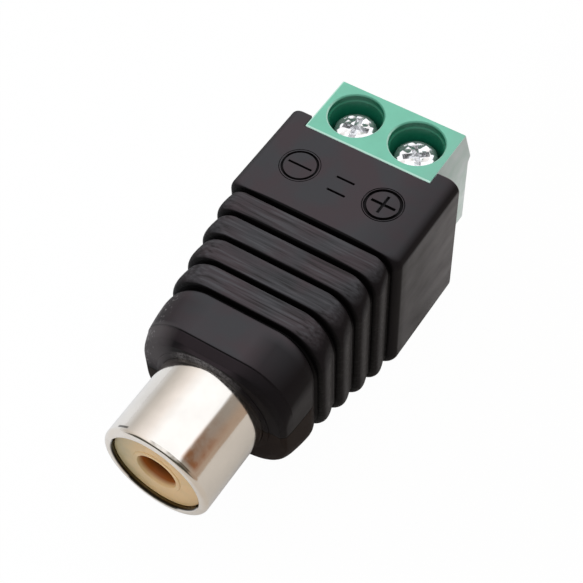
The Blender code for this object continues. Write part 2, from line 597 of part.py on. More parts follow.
def make_terminal_body(adapter, green):
    """The two-way block: wells for the screws, cells for the clamps and entries for the wires."""
    body = place("terminal_body",
                 extruded(block_profile(), -BLOCK_HALF_WIDTH, BLOCK_HALF_WIDTH, across_x),
                 adapter, material=green)
    front, rear = SCREW_Y - CELL_HALF_DEPTH, SCREW_Y + CELL_HALF_DEPTH
    beyond = BLOCK_REAR_Y + CUT_OVERRUN
    entry_low = WIRE_ENTRY_TOP_Z - WIRE_ENTRY_HEIGHT
    slot = TAIL_WIDTH / 2 + SEAT_GAP
    for pole, x in POLES:
        axis = (x, SCREW_Y, 0)
        hollows = {
            "cell": block_between(
                (-CELL_HALF_WIDTH, front - SCREW_Y, BLOCK_BOTTOM_Z - CUT_OVERRUN),
                (CELL_HALF_WIDTH, rear - SCREW_Y, CELL_ROOF_Z)),
            "well": rod(WELL_RADIUS, WELL_FLOOR_Z, BLOCK_TOP_Z + CUT_OVERRUN, BORE_SIDES, "Z"),
            "shank_hole": rod(SHANK_RADIUS + RUNNING_GAP, CELL_ROOF_Z - PARTITION / 2,
                              WELL_FLOOR_Z + PARTITION / 2, SCREW_SIDES, "Z"),
            "wire_entry": block_between(
                (-WIRE_ENTRY_WIDTH / 2, CELL_HALF_DEPTH - RUNNING_GAP, entry_low),
                (WIRE_ENTRY_WIDTH / 2, beyond - SCREW_Y, WIRE_ENTRY_TOP_Z)),
            "tail_slot": block_between(
                (-slot, BLOCK_SHOULDER_Y - CUT_OVERRUN - SCREW_Y, BAR_BOTTOM_Z - SEAT_GAP),
                (slot, RUNNING_GAP - CELL_HALF_DEPTH, BAR_TOP_Z + SEAT_GAP)),
        }
        for name, shape in hollows.items():
            cut(body, place(f"cut_{name}_{pole}", shape, adapter, axis))


def make_clamp_screw(pole, x, adapter, zinc):
    """A pan head with a cross in it, on a plain shank. Its origin is on its axis."""
    crown, tip_z = HEAD_RADIUS - HEAD_ROUND, WINDOW_TOP_Z
    shares = [step / CROWN_STEPS for step in range(CROWN_STEPS + 1)]
    profile = [(crown * share, HEAD_TOP_Z - HEAD_CROWN * share ** 2) for share in shares]
    profile += [(HEAD_RADIUS, HEAD_TOP_Z - HEAD_CROWN - HEAD_ROUND), (HEAD_RADIUS, HEAD_SEAT_Z),
                (SHANK_RADIUS, HEAD_SEAT_Z), (SHANK_RADIUS, tip_z + SHANK_TIP),
                (SHANK_RADIUS - SHANK_TIP, tip_z), (0, tip_z)]
    axis = (x, SCREW_Y, 0)
    screw = place(f"clamp_screw_{pole}", turned(profile, SCREW_SIDES, "Z"), adapter, axis, zinc)
    low, high = HEAD_TOP_Z - CROSS_DEPTH, HEAD_TOP_Z + CUT_OVERRUN
    half, wide = CROSS_LENGTH / 2, CROSS_WIDTH / 2
    for name, a, b in (("arm", half, wide), ("bar", wide, half)):
        cutter = place(f"cut_cross_{name}_{pole}", block_between((-a, -b, low), (a, b, high)), adapter, axis)
        cut(screw, cutter)


def make_clamp(pole, x, adapter, steel):
    """The box clamp that the screw lifts. Its origin is on the screw's axis."""
    axis = (x, SCREW_Y, 0)
    half, deep = CLAMP_WIDTH / 2, CLAMP_DEPTH / 2
    clamp = place(f"clamp_{pole}", block_between((-half, -deep, CLAMP_BOTTOM_Z), (half, deep, CLAMP_TOP_Z)),
                  adapter, axis, steel)
    soften(clamp, CLAMP_ROUND)
    inside, through = half - CLAMP_SIDE, deep + CUT_OVERRUN
    window = block_between((-inside, -through, WINDOW_FLOOR_Z), (inside, through, WINDOW_TOP_Z))
    hole = rod(SHANK_RADIUS + RUNNING_GAP, WINDOW_TOP_Z - CLAMP_ROOF / 2, CLAMP_TOP_Z + CUT_OVERRUN,
               SCREW_SIDES, "Z")
    cut(clamp, place(f"cut_window_{pole}", window, adapter, axis))
    cut(clamp, place(f"cut_thread_{pole}", hole, adapter, axis))


def make_contact_bar(pole, x, adapter, tinned):
    """The fixed strip that the clamp presses the wire against, drawn out into a solder tail."""
    wide, narrow = BAR_WIDTH / 2, TAIL_WIDTH / 2
    front, rear = SEAT_GAP - CELL_HALF_DEPTH, CELL_HALF_DEPTH - SEAT_GAP
    tip = TAIL_TIP_Y - SCREW_Y
    outline = [(-narrow, tip), (narrow, tip), (narrow, front), (wide, front), (wide, rear),
               (-wide, rear), (-wide, front), (-narrow, front)]
    place(f"contact_bar_{pole}", extruded(outline, BAR_BOTTOM_Z, BAR_TOP_Z, up_z), adapter,
          (x, SCREW_Y, 0), tinned)


def lead_ends():
    """Where each lead's jacket starts, behind, and ends, in front."""
    beside = CORE_RADIUS + RUNNING_GAP
    rear_z = BAR_TOP_Z + beside
    rear_y = TAIL_TIP_Y - LEAD_STANDOFF
    ground = Vector((tongue_x() + TAG_THICKNESS / 2 + beside, TAG_TIP_Y + LEAD_STANDOFF, 0))
    centre = Vector((0, CONTACT_TIP_Y + LEAD_STANDOFF, CONTACT_TAIL_RADIUS + beside))
    return {"minus": (Vector((-POLE_PITCH / 2, rear_y, rear_z)), ground),
            "plus": (Vector((POLE_PITCH / 2, rear_y, rear_z)), centre)}


def make_lead(pole, adapter, copper, jacket):
    """A stranded core with bare ends, drawn as one round wire, and the jacket along its middle."""
    rear, front = lead_ends()[pole]
    back = Vector((0, (rear.y - front.y) * LEAD_BEND, 0))
    route = [Vector(point) for point in
             interpolate_bezier(rear, rear - back, front + back, front, LEAD_STEPS)]
    bare = Vector((0, BARE_END, 0))
    place(f"lead_{pole}_core", swept([rear + bare] + route + [front - bare], CORE_RADIUS), adapter,
          material=copper)
    place(f"lead_{pole}_jacket", swept(route, JACKET_RADIUS, CORE_RADIUS + RUNNING_GAP), adapter,
          material=jacket)


def make_solder(name, adapter, solder, station, low, high, tail, wire):
    """A bead of solder round a tail and the wire beside it, from corner to corner in X and Z."""
    half = SOLDER_LENGTH / 2
    corner_low = (low[0] - SOLDER_WALL, station - half, low[1] - SOLDER_WALL)
    corner_high = (high[0] + SOLDER_WALL, station + half, high[1] + SOLDER_WALL)
    bead = place(f"solder_{name}", block_between(corner_low, corner_high), adapter, material=solder)
    soften(bead, SOLDER_ROUND)
    cut(bead, place(f"cut_tail_{name}", tail, adapter))
    cut(bead, place(f"cut_wire_{name}", wire, adapter))


def channel_for(centre, radius, station):
    """A round channel through a bead, along Y."""
    run = SOLDER_LENGTH / 2 + CUT_OVERRUN
    shape = rod(radius, station - run, station + run, WIRE_SIDES + 2)
    bmesh.ops.translate(shape, verts=shape.verts, vec=(centre[0], 0, centre[1]))
    return shape


def flat_channel(low, high, station):
    """A flat channel through a bead, along Y."""
    run = SOLDER_LENGTH / 2 + CUT_OVERRUN
    return block_between((low[0], station - run, low[1]), (high[0], station + run, high[1]))


def make_pin_joint(pole, rear, adapter, solder):
    """The joint between a contact bar's tail and its lead, which lies on top of it."""
    station = (TAIL_TIP_Y + rear.y + BARE_END) / 2
    flat, round_ = TAIL_WIDTH / 2 + RUNNING_GAP, CORE_RADIUS + RUNNING_GAP
    low = (rear.x - flat, BAR_BOTTOM_Z - RUNNING_GAP)
    high = (rear.x + flat, rear.z + round_)
    make_solder(f"pin_{pole}", adapter, solder, station, low, high,
                flat_channel(low, (high[0], rear.z), station),
                channel_for((rear.x, rear.z), round_, station))


def make_centre_joint(front, adapter, solder):
    """The joint between the centre contact's tail and the plus lead above it."""
    station = (CONTACT_TIP_Y + front.y - BARE_END) / 2
    tail, wire = CONTACT_TAIL_RADIUS + RUNNING_GAP, CORE_RADIUS + RUNNING_GAP
    make_solder("centre", adapter, solder, station, (-tail, -tail), (tail, front.z + wire),
                channel_for((0, 0), tail, station), channel_for((0, front.z), wire, station))


def make_ground_joint(front, adapter, solder):
    """The joint between the ground tag's tongue and the minus lead beside it."""
    station = (TAG_TIP_Y + front.y - BARE_END) / 2
    half, wire = TAG_TONGUE_WIDTH / 2 + RUNNING_GAP, CORE_RADIUS + RUNNING_GAP
    left = tongue_x() - TAG_THICKNESS / 2 - RUNNING_GAP
    make_solder("ground", adapter, solder, station, (left, -half), (front.x + wire, half),
                flat_channel((left, -half), (front.x, half), station),
                channel_for((front.x, 0), wire, station))


def main():
    """Build the adapter under one empty at the socket's mouth."""
    clear_scene()
    adapter = bpy.data.objects.new("adapter", None)
    bpy.context.collection.objects.link(adapter)
    adapter.location = (0, -BLOCK_REAR_Y / 2, BOX_SECTION[2])
    plastic = finish("housing_plastic", (0.040, 0.038, 0.040), 0.55)
    green = finish("terminal_plastic", (0.19, 0.56, 0.41), 0.35)
    nickel = finish("nickel_plate", (0.80, 0.76, 0.71), 0.18, 1.0)
    cream = finish("cream_plastic", (0.60, 0.46, 0.27), 0.45)
    brass = finish("contact_brass", (0.70, 0.52, 0.24), 0.3, 1.0)
    tinned = finish("tinned_strip", (0.74, 0.73, 0.70), 0.35, 1.0)
    zinc = finish("zinc_plate", (0.82, 0.83, 0.84), 0.25, 1.0)
    steel = finish("clamp_steel", (0.66, 0.67, 0.68), 0.3, 1.0)
    copper = finish("copper", (0.78, 0.42, 0.26), 0.35, 1.0)
    solder = finish("solder", (0.68, 0.69, 0.70), 0.3, 1.0)
    jackets = {"minus": finish("black_jacket", (0.03, 0.03, 0.03), 0.5),
               "plus": finish("red_jacket", (0.55, 0.04, 0.03), 0.5)}
    make_housing(adapter, plastic)
    make_shell(adapter, nickel)
    make_insulators(adapter, cream)
    make_centre_contact(adapter, brass)
    make_ground_tag(adapter, tinned)
    make_terminal_body(adapter, green)
    for pole, x in POLES:
        make_clamp_screw(pole, x, adapter, zinc)
        make_clamp(pole, x, adapter, steel)
        make_contact_bar(pole, x, adapter, tinned)
        make_lead(pole, adapter, copper, jackets[pole])
        make_pin_joint(pole, lead_ends()[pole][0], adapter, solder)
    make_centre_joint(lead_ends()["plus"][1], adapter, solder)
    make_ground_joint(lead_ends()["minus"][1], adapter, solder)


main()
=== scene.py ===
"""Finished looks for a phono socket to two-way screw terminal adapter.

Each piece is made in the socket's own space: its origin is the middle of the socket's mouth, +X runs
from the minus pole to the plus pole, +Y runs back to the wire entries, and +Z is up. A screw and its
clamp are made about the screw's axis instead. Lengths are in metres, and MM turns millimetres into
metres.
"""

import math

import bmesh
import bpy
from bpy.props import FloatProperty, FloatVectorProperty, IntProperty, PointerProperty
from mathutils import Euler, Matrix, Vector


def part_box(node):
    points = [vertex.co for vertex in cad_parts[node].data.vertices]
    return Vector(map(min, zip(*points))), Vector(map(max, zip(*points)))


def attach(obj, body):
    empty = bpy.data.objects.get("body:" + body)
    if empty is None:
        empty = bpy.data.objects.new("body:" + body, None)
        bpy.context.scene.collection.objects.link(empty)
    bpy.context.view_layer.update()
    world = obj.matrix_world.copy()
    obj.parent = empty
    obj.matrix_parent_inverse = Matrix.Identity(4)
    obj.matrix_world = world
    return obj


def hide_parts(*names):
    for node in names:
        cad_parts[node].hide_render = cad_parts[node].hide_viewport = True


bl_info = {
    "name": "Screw terminal adapter",
    "version": (1, 0, 0),
    "blender": (4, 5, 0),
    "location": "View3D > Sidebar > Adapter",
    "description": "Builds the finished pieces of a phono socket to screw terminal adapter",
    "category": "Add Mesh",
}

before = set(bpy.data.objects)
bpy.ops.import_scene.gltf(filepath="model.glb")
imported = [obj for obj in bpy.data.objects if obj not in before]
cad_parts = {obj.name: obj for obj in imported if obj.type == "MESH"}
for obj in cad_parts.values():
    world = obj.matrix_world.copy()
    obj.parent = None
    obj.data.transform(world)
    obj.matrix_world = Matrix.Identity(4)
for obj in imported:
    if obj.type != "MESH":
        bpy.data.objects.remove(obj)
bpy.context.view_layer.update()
MM = 0.001
POLES = ("minus", "plus")
BLACK = (0.0, 0.0, 0.0)

# How far a cutter reaches past what it cuts
OVERCUT = 1.0 * MM

# Sides of the turned shapes
SHELL_SIDES = 128
INSULATOR_SIDES = 112
RING_SIDES = 96
HEAD_SIDES = 72
SHANK_SIDES = 48

# Steps along the rounded sections
NOSE_STEPS = 30
RIB_STEPS = 32
EDGE_STEPS = 14
CORNER_STEPS = 14

# Largest share of a section's half width that a corner's radius may take
FULLEST_CORNER = 0.98

# Hollow for the leads: radius of its corners, and their steps
CAVITY_CORNER = 1.0 * MM
CAVITY_STEPS = 6

# Root of the collar inside the nose, and the rounding of the housing's rear rim
COLLAR_ROOT = 0.3 * MM
REAR_MARGIN = 0.01 * MM
REAR_ROUND = 0.09 * MM

# Sunk marks on the housing's top: how far to either side, and how far in front of its rear
MARK_ACROSS = 3.41 * MM
MARK_BACK = 4.5 * MM

# Half lengths of a sign's strokes, how much wider the plus sign's lines are, and their slanting walls
STROKE_REACH = 0.95 * MM
UPRIGHT_REACH = 0.80 * MM
PLUS_WIDENING = 1.4
SLANT_SHARE = 0.3

# The two dashes: ends in X, and stations from the marks' row
DASH_LEFT, DASH_RIGHT = -0.66 * MM, 0.78 * MM
DASH_STATIONS = (-0.8 * MM, 0.5 * MM)

# Slot for the tail of each contact bar: half its width, and the gap above and below the tail
TAIL_HALF = 0.75 * MM
TAIL_GAP = 0.3 * MM

# Screws' heads: turn of each cross in degrees, how its arms narrow to their floor, and the seat's edge
HEAD_TURNS = {"minus": 12, "plus": 38}
CROSS_TAPER = (0.45, 0.6)
SEAT_EDGE = 0.06 * MM

# Threads: how far they start inside the head, steps in a turn, the run-out in turns, and the tip's depth
THREAD_OVERLAP = 0.05 * MM
THREAD_STEPS = 10
THREAD_RUN_OUT = 0.6
THREAD_STUB = 0.2

# Teeth on a clamp's floor
TEETH = range(-3, 4)
TOOTH_PITCH = 0.45 * MM
TOOTH_HALF = 0.03 * MM
TOOTH_DEPTH = 0.12 * MM
TOOTH_SPREAD = 0.1 * MM
TOOTH_MARGIN = 0.2 * MM
CLAMP_ROUND = 0.25 * MM

# Camera and softbox
SENSOR_WIDTH = 36.0
CLIP_START = 0.001
SOFTBOX_PLACE = (0.07, 0.18, 0.45)
SOFTBOX_TARGET = (0, 0, 0.006)
SOFTBOX_SIZE = 0.60

# Places that come from the frame
SHELL_LOW, SHELL_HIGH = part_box("jack_shell")
SOCKET = Vector((0.0, SHELL_LOW.y, (SHELL_LOW.z + SHELL_HIGH.z) / 2))
HOUSING_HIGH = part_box("housing")[1] - SOCKET
BLOCK_LOW, BLOCK_HIGH = (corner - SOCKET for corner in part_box("terminal_body"))
INSULATOR_LOW, INSULATOR_HIGH = (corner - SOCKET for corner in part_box("jack_insulator"))
SCREW_BOXES = {pole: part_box(f"clamp_screw_{pole}") for pole in POLES}
CLAMP_BOXES = {pole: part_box(f"clamp_{pole}") for pole in POLES}
BAR_BOXES = {pole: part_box(f"contact_bar_{pole}") for pole in POLES}
SCREW_AXES = {pole: Vector(((low.x + high.x) / 2, (low.y + high.y) / 2, SOCKET.z))
              for pole, (low, high) in SCREW_BOXES.items()}


def length(name, millimetres, description):
    """A length that the user can set."""
    return FloatProperty(name=name, description=description, default=millimetres * MM, unit="LENGTH",
                         precision=5, min=0.0)


def section(name, millimetres, description):
    """A section of the moulding: half width, height, depth, upper and lower corner radius."""
    return FloatVectorProperty(name=name, description=description, size=5, unit="LENGTH", precision=5,
                               default=[value * MM for value in millimetres])


def colour(name, value, description):
    """A surface colour that the user can set."""
    return FloatVectorProperty(name=name, description=description, subtype="COLOR", size=3,
                               default=value, min=0.0, max=1.0)


class MouldingSettings(bpy.types.PropertyGroup):
    """Sizes and colour of the black moulding"""
    nose_edge: section("Nose edge", (5.48, 4.75, 4.68, 4.6, 4.6), "Section of the face round the shell")
    nose_tip: section("Nose tip", (5.76, 5.25, 5.26, 4.15, 4.15), "Section of the nose behind its face")
    nose_root: section("Nose root", (5.98, 5.25, 5.74, 3.0, 3.2), "Section at the rear of the nose")
    rib_last: section("Last rib", (6.30, 5.5, 5.56, 2.9, 2.85), "Section over the rib beside the nose")
    rib_first: section("First rib", (6.75, 6.0, 6.8, 1.5, 1.9), "Section over the rib beside the box")
    box: section("Box", (7.0, 6.05, 6.88, 1.05, 1.65), "Section of the plain box behind the ribs")
    groove: section("Groove", (0.45, 0.70, 0.3, 0.2, 0.2), "How far a groove draws the section in")
    groove_floor: length("Groove floor", 0.30, "Width of a groove's flat floor")
    exposed: length("Shell exposed", 6.7, "How much of the shell stands out of the moulding")
    collar_reach: length("Collar reach", 0.45, "Width of the low collar round the shell")
    collar_rise: length("Collar rise", 0.1, "How far that collar stands out of the nose's face")
    edge_depth: length("Edge depth", 0.26, "From the nose's face back to its full tip")
    slope_run: length("Slope run", 1.0, "Length of the slope over the nose's face")
    slope_drop: length("Slope drop", 0.5, "Fall of the slope over the nose's face")
    slope_step: length("Slope step", 0.1, "Small step where that slope starts")
    nose_length: length("Nose length", 4.45, "From the nose's face to the groove behind it")
    nose_roundness: FloatProperty(name="Nose roundness", default=1.39, min=1.0, max=4.0,
                                  description="How square the nose's shoulders are")
    rib_count: IntProperty(name="Ribs", default=4, min=1, max=8, description="Number of ribs")
    rib_pitch: length("Rib pitch", 2.07, "From one groove to the next")
    side_roundness: FloatProperty(name="Side roundness", default=1.9, min=1.0, max=6.0,
                                  description="How square the ribs' edges are at the sides")
    top_roundness: FloatProperty(name="Top roundness", default=9.0, min=1.0, max=12.0,
                                 description="How square the ribs' edges are on top")
    rib_lean: FloatProperty(name="Rib lean", default=0.45, min=0.0, max=0.5,
                            description="How far each rib's crest leans to the nose")
    side_lead: length("Side lead", 0.38, "How far the grooves come forward at the sides")
    side_lead_power: FloatProperty(name="Side lead power", default=4.0, min=1.0, max=10.0,
                                   description="How closely that keeps to the sides")
    under_lead: length("Under lead", 0.18, "How much further they come forward underneath")
    lead_in: length("Lead in", 2.9, "Length over which they start to, in the nose")
    lead_out: length("Lead out", 1.0, "Length over which they end, in the box")
    end_round: length("End round", 1.0, "Length over which the nose rounds off into its groove")
    box_round: length("Box front round", 0.45, "Rounding of the box where it meets the first groove")
    cavity_half_width: length("Cavity half width", 4.3, "Half the width of the hollow for the leads")
    cavity_half_height: length("Cavity half height", 3.7, "Half the height of the hollow for the leads")
    seam: length("Seam", 0.01, "Gap between the moulding and what it holds")
    pocket_gap: length("Pocket gap", 0.05, "Gap between the moulding and the block")
    mark_radius: length("Mark radius", 1.28, "Radius of the ring round each polarity sign")
    mark_width: length("Mark width", 0.14, "Width of the sunk lines")
    mark_depth: length("Mark depth", 0.22, "Depth of the sunk lines")
    hairline: length("Hairline", 0.21, "From a mark's ring out to the fine ring round it")
    paint: colour("Black", (0.007, 0.0055, 0.0065), "Colour of the moulding's unworn parts")
    # This colour is mostly painted light on faces that look up or sideways, and also the pale dust specks
    bloom_and_sheen: colour("Bloom", (0.051, 0.048, 0.0485), "Colour of the faces that are worn")
    # The underside colour is painted brownish reflected light
    warm_bounce: colour("Warm", (0.009, 0.003, 0.001), "Colour of the nose's underside")


class SocketSettings(bpy.types.PropertyGroup):
    """Sizes and colours of the socket"""
    shell_radius: length("Shell radius", 4.17, "Outside of the shell")
    bore_radius: length("Bore radius", 3.5, "Inside of the shell")
    lip_round: length("Lip round", 0.4, "Rounding of the shell's outer rim")
    flange_radius: length("Flange radius", 4.4, "Flange behind, inside the moulding")
    flange_length: length("Flange length", 1.1, "Length of the flange")
    pin_radius: length("Pin hole radius", 1.5, "Hole for the plug's pin")
    lip: length("Insulator lip", 1.2, "Thickness of the insulator's front wall")
    face_rise: length("Face rise", 0.15, "How far the insulator's face stands out of its rim")
    chamber_radius: length("Chamber radius", 2.25, "Hollow behind the front wall")
    collar_width: length("Collar width", 0.42, "Width of the raised collar round the pin hole")
    collar_rise: length("Collar rise", 0.06, "Height of the raised collar")
    nickel: colour("Nickel", (0.80, 0.76, 0.71), "Colour of the plating")
    brown_band: colour("Rust", (0.53, 0.28, 0.16), "Colour of the plating where it is stained")
    dull: colour("Dull", (0.72, 0.64, 0.55), "Colour of the plating on the worn rim")
    cream: colour("Cream", (0.84, 0.57, 0.28), "Colour of the insulators")
    # Olive serves as painted shade on the insulator and inside the shell's mouth, and as a painted
    # reflection on the shell's rim
    olive: colour("Olive", (0.53, 0.43, 0.235), "Colour of the insulator where it has aged")
    amber: colour("Amber", (0.40, 0.11, 0.011), "Colour of the insulator deep in its hole")
    # This colour is painted shade inside the shell's mouth, and the colour of the nick
    tarnish_and_shade: colour("Tarnish", (0.020, 0.016, 0.012), "Colour inside the shell's mouth")
    brass: colour("Brass", (0.70, 0.52, 0.24), "Colour of the centre contact")


class TerminalSettings(bpy.types.PropertyGroup):
    """Sizes and colours of the terminal block"""
    top_depth: length("Top depth", 5.22, "Depth of the block's flat top, from front to rear")
    slope_drop: length("Slope drop", 3.26, "Height of the slope under the top's rear edge")
    ledge_in: length("Ledge in", 0.3, "How far the wall under the slope lies back")
    ledge_drop: length("Ledge drop", 0.4, "Height of the ledge under the slope")
    well_radius: length("Well radius", 2.06, "Radius of the screws' wells")
    edge_round: length("Edge round", 0.1, "Rounding of the block's edges")
    partition: length("Partition", 0.8, "Thickness of the floor that carries a screw's head")
    head_height: length("Head height", 1.15, "Height of a screw's head")
    head_rise: length("Head rise", 0.2, "How far a head's crown stands over its solid")
    head_spread: length("Head spread", 0.05, "How far a head stands over its solid at the side")
    head_crown: length("Head crown", 0.36, "Rise of a head's crown")
    shank_radius: length("Shank radius", 1.25, "Radius over a screw's thread")
    thread_pitch: length("Thread pitch", 0.45, "Distance between two turns of the thread")
    thread_depth: length("Thread depth", 0.2, "Depth of the thread")
    cross_length: length("Cross length", 2.7, "Length of the cross in a head")
    cross_width: length("Cross width", 0.6, "Width of the cross in a head")
    cross_depth: length("Cross depth", 0.85, "Depth of the cross in a head")
    well_step: length("Well step", 0.6, "Depth of the wells' slightly wider mouth")
    well_narrowing: length("Well narrowing", 0.1, "How much narrower the wells are below it")
    entry_width: length("Entry width", 3.4, "Width of a wire entry")
    entry_height: length("Entry height", 2.9, "Height of a wire entry")
    running_gap: length("Running gap", 0.12, "Clearance round what turns or slides")
    clamp_side: length("Clamp side", 0.5, "Thickness of a clamp's sides")
    clamp_roof: length("Clamp roof", 0.9, "Thickness of a clamp's roof")
    clamp_floor: length("Clamp floor", 0.6, "Thickness of a clamp's floor")
    green: colour("Green", (0.163, 0.518, 0.373), "Colour of the block")
    greyish_green: colour("Faded", (0.19, 0.40, 0.32), "Colour of the block's top beside the plus pole")
    # The pale edges are painted highlights
    edge_highlight_green: colour("Edge green", (0.62, 0.85, 0.76), "Colour of the block's pale edges")
    # Inside the wells this colour is painted shade
    well_shade_green: colour("Deep green", (0.008, 0.18, 0.10), "Colour of the block inside its wells")
    # The sides' colour is painted glare over scuffs
    side_glare: colour("Frost", (0.52, 0.60, 0.63), "Colour of the block's scuffed sides")
    zinc: colour("Zinc", (0.88, 0.88, 0.89), "Colour of the screws")
    steel: colour("Steel", (0.66, 0.67, 0.68), "Colour of the clamps")
    tin: colour("Tin", (0.74, 0.73, 0.70), "Colour of the contact bars and the ground tag")


class WiringSettings(bpy.types.PropertyGroup):
    """Colours of the leads and joints inside"""
    copper: colour("Copper", (0.78, 0.42, 0.26), "Colour of the bare leads")
    solder: colour("Solder", (0.68, 0.69, 0.70), "Colour of the soldered joints")
    minus: colour("Minus jacket", (0.03, 0.03, 0.03), "Colour of the minus lead")
    plus: colour("Plus jacket", (0.55, 0.04, 0.03), "Colour of the plus lead")


class StageSettings(bpy.types.PropertyGroup):
    """Camera, floor and lights"""
    camera_place: FloatVectorProperty(name="Camera place", size=3, subtype="TRANSLATION", precision=5,
                                      default=(0.03395, -0.04807, 0.08864),
                                      description="Where the camera stands")
    camera_turn: FloatVectorProperty(name="Camera turn", size=3, subtype="EULER",
                                     default=[math.radians(angle) for angle in (35.924, 1.429, 32.959)],
                                     description="How the camera is turned")
    lens: FloatProperty(name="Lens", default=87.79, min=10.0, description="Focal length in millimetres")
    shift: FloatVectorProperty(name="Shift", size=2, default=(-0.0065, 0.0081),
                               description="Small shift of the frame, as shares of its width")
    floor_size: FloatProperty(name="Floor size", default=6.0, unit="LENGTH",
                              description="Side of the square floor")
    floor_left: colour("Floor left", (0.86, 0.88, 0.90), "Colour of the floor beside the minus pole")
    floor_right: colour("Floor right", (0.66, 0.62, 0.57), "Colour of the floor beside the plus pole")
    floor_white: FloatProperty(name="Floor white", default=0.98, min=0.0, max=1.0,
                               description="Share of plain white in what the camera sees of the floor")
    softbox_power: FloatProperty(name="Softbox power", default=0.3, unit="POWER",
                                 description="Power of the overhead softbox")
    sky_strength: FloatProperty(name="Sky strength", default=1.38, min=0.0,
                                description="Strength of the light from overhead")


def settings():
    """The scene's settings for the adapter."""
    return bpy.context.scene.adapter


# Shapes

def turned(profile, sides, axis="Y"):
    """Turn a closed profile of (radius, station) points round the Y or the Z axis.

    A point on the axis becomes one corner and any other point a ring of corners.
    """
    shape = bmesh.new()
    rings = []
    for radius, station in profile:
        ring = []
        for side in range(sides if radius else 1):
            turn = math.tau * side / sides
            across, out = radius * math.cos(turn), radius * math.sin(turn)
            ring.append(shape.verts.new((across, station, -out) if axis == "Y" else (across, out, station)))
        rings.append(ring)
    for ring, following in zip(rings, rings[1:] + rings[:1]):
        for side in range(sides if len(ring) + len(following) > 2 else 0):
            after = (side + 1) % sides
            corners = (ring[side % len(ring)], ring[after % len(ring)],
                       following[after % len(following)], following[side % len(following)])
            shape.faces.new(dict.fromkeys(corners))
    return shape


def rod(radius, start, end, sides, axis="Y"):
    """A plain cylinder between two stations of an axis."""
    return turned([(0, start), (radius, start), (radius, end), (0, end)], sides, axis)


def box_shape(low, high):
    """A box between two corners."""
    shape = bmesh.new()
    low, high = Vector(low), Vector(high)
    middle = Matrix.Translation((low + high) / 2)
    bmesh.ops.create_cube(shape, size=1.0, matrix=middle @ Matrix.Diagonal((*(high - low), 1.0)))
    return shape


def groove_cutter(low, high, top, depth, spread):
    """A straight cutter for a sunk line: narrow at its floor and wider above the surface."""
    shape = box_shape((*low, top - depth), (*high, top + depth))
    middle = (Vector(low) + Vector(high)) / 2
    for corner in shape.verts:
        if corner.co.z > top:
            corner.co.x += math.copysign(spread, corner.co.x - middle.x)
            corner.co.y += math.copysign(spread, corner.co.y - middle.y)
    return shape


def skinned(shape, rings):
    """Join rings of corners one after another and close both ends."""
    for ring, following in zip(rings, rings[1:]):
        for index in range(len(ring)):
            after = (index + 1) % len(ring)
            shape.faces.new((ring[index], ring[after], following[after], following[index]))
    shape.faces.new(rings[0])
    shape.faces.new(rings[-1])
    return shape


def extruded(outline, start, end, to_point):
    """Sweep a closed outline straight from one station to another."""
    shape = bmesh.new()
    return skinned(shape, [[shape.verts.new(to_point(a, b, station)) for a, b in outline]
                           for station in (start, end)])


def across_x(y, z, station):
    """Place an outline drawn in Y and Z at a station of X."""
    return (station, y, z)


def along_y(x, z, station):
    """Place an outline drawn in X and Z at a station of Y."""
    return (x, station, z)


def arc(centre, radius, start, end, steps):
    """Points of an arc, with its angles in degrees."""
    turns = [math.radians(start + (end - start) * step / steps) for step in range(steps + 1)]
    return [(centre[0] + radius * math.cos(turn), centre[1] + radius * math.sin(turn)) for turn in turns]


def rounded_ring(half_width, top, bottom, upper, lower, steps=CORNER_STEPS):
    """Points of a rectangle with round upper and lower corners, as (x, z) pairs."""
    most = min(half_width, (top + bottom) / 2) * FULLEST_CORNER
    upper, lower = min(upper, most), min(lower, most)
    inner_upper, inner_lower = half_width - upper, half_width - lower
    return (arc((inner_upper, top - upper), upper, 0, 90, steps)
            + arc((-inner_upper, top - upper), upper, 90, 180, steps)
            + arc((-inner_lower, lower - bottom), lower, 180, 270, steps)
            + arc((inner_lower, lower - bottom), lower, 270, 360, steps))


def lofted(sections, lead):
    """Skin a list of (station, section) pairs along Y, led forward by a rule, and close both ends."""
    shape = bmesh.new()
    return skinned(shape, [[shape.verts.new((x, station - lead(x, z, station, sizes), z))
                            for x, z in rounded_ring(*sizes)] for station, sizes in sections])


def as_object(name, shape):
    """Turn a bmesh into an object in the socket's space."""
    bmesh.ops.recalc_face_normals(shape, faces=shape.faces)
    mesh = bpy.data.meshes.new(name)
    shape.to_mesh(mesh)
    shape.free()
    thing = bpy.data.objects.new(name, mesh)
    bpy.context.scene.collection.objects.link(thing)
    return thing


def carved(shape, cutters, operation="DIFFERENCE"):
    """Cut a list of shapes out of another, or join them to it, and return the result as a bmesh."""
    thing = as_object("blank", shape)
    tools = [as_object("cutter", cutter) for cutter in cutters]
    for tool in tools:
        modifier = thing.modifiers.new("cut", "BOOLEAN")
        modifier.operation = operation
        modifier.solver = "EXACT"
        modifier.object = tool
    evaluated = thing.evaluated_get(bpy.context.evaluated_depsgraph_get())
    result = bmesh.new()
    result.from_mesh(evaluated.to_mesh())
    evaluated.to_mesh_clear()
    for spent in tools + [thing]:
        mesh = spent.data
        bpy.data.objects.remove(spent)
        bpy.data.meshes.remove(mesh)
    return result


def round_edges(shape, width, chosen, segments=2, angle=50):
    """Round the sharp edges that pass a test on their middle point."""
    limit = math.radians(angle)
    edges = []
    for edge in shape.edges:
        middle = (edge.verts[0].co + edge.verts[1].co) / 2
        if len(edge.link_faces) == 2 and edge.calc_face_angle(0) > limit and chosen(middle):
            edges.append(edge)
    bmesh.ops.bevel(shape, geom=edges, offset=width, offset_type="OFFSET", segments=segments,
                    profile=0.5, affect="EDGES", clamp_overlap=True)
    return shape


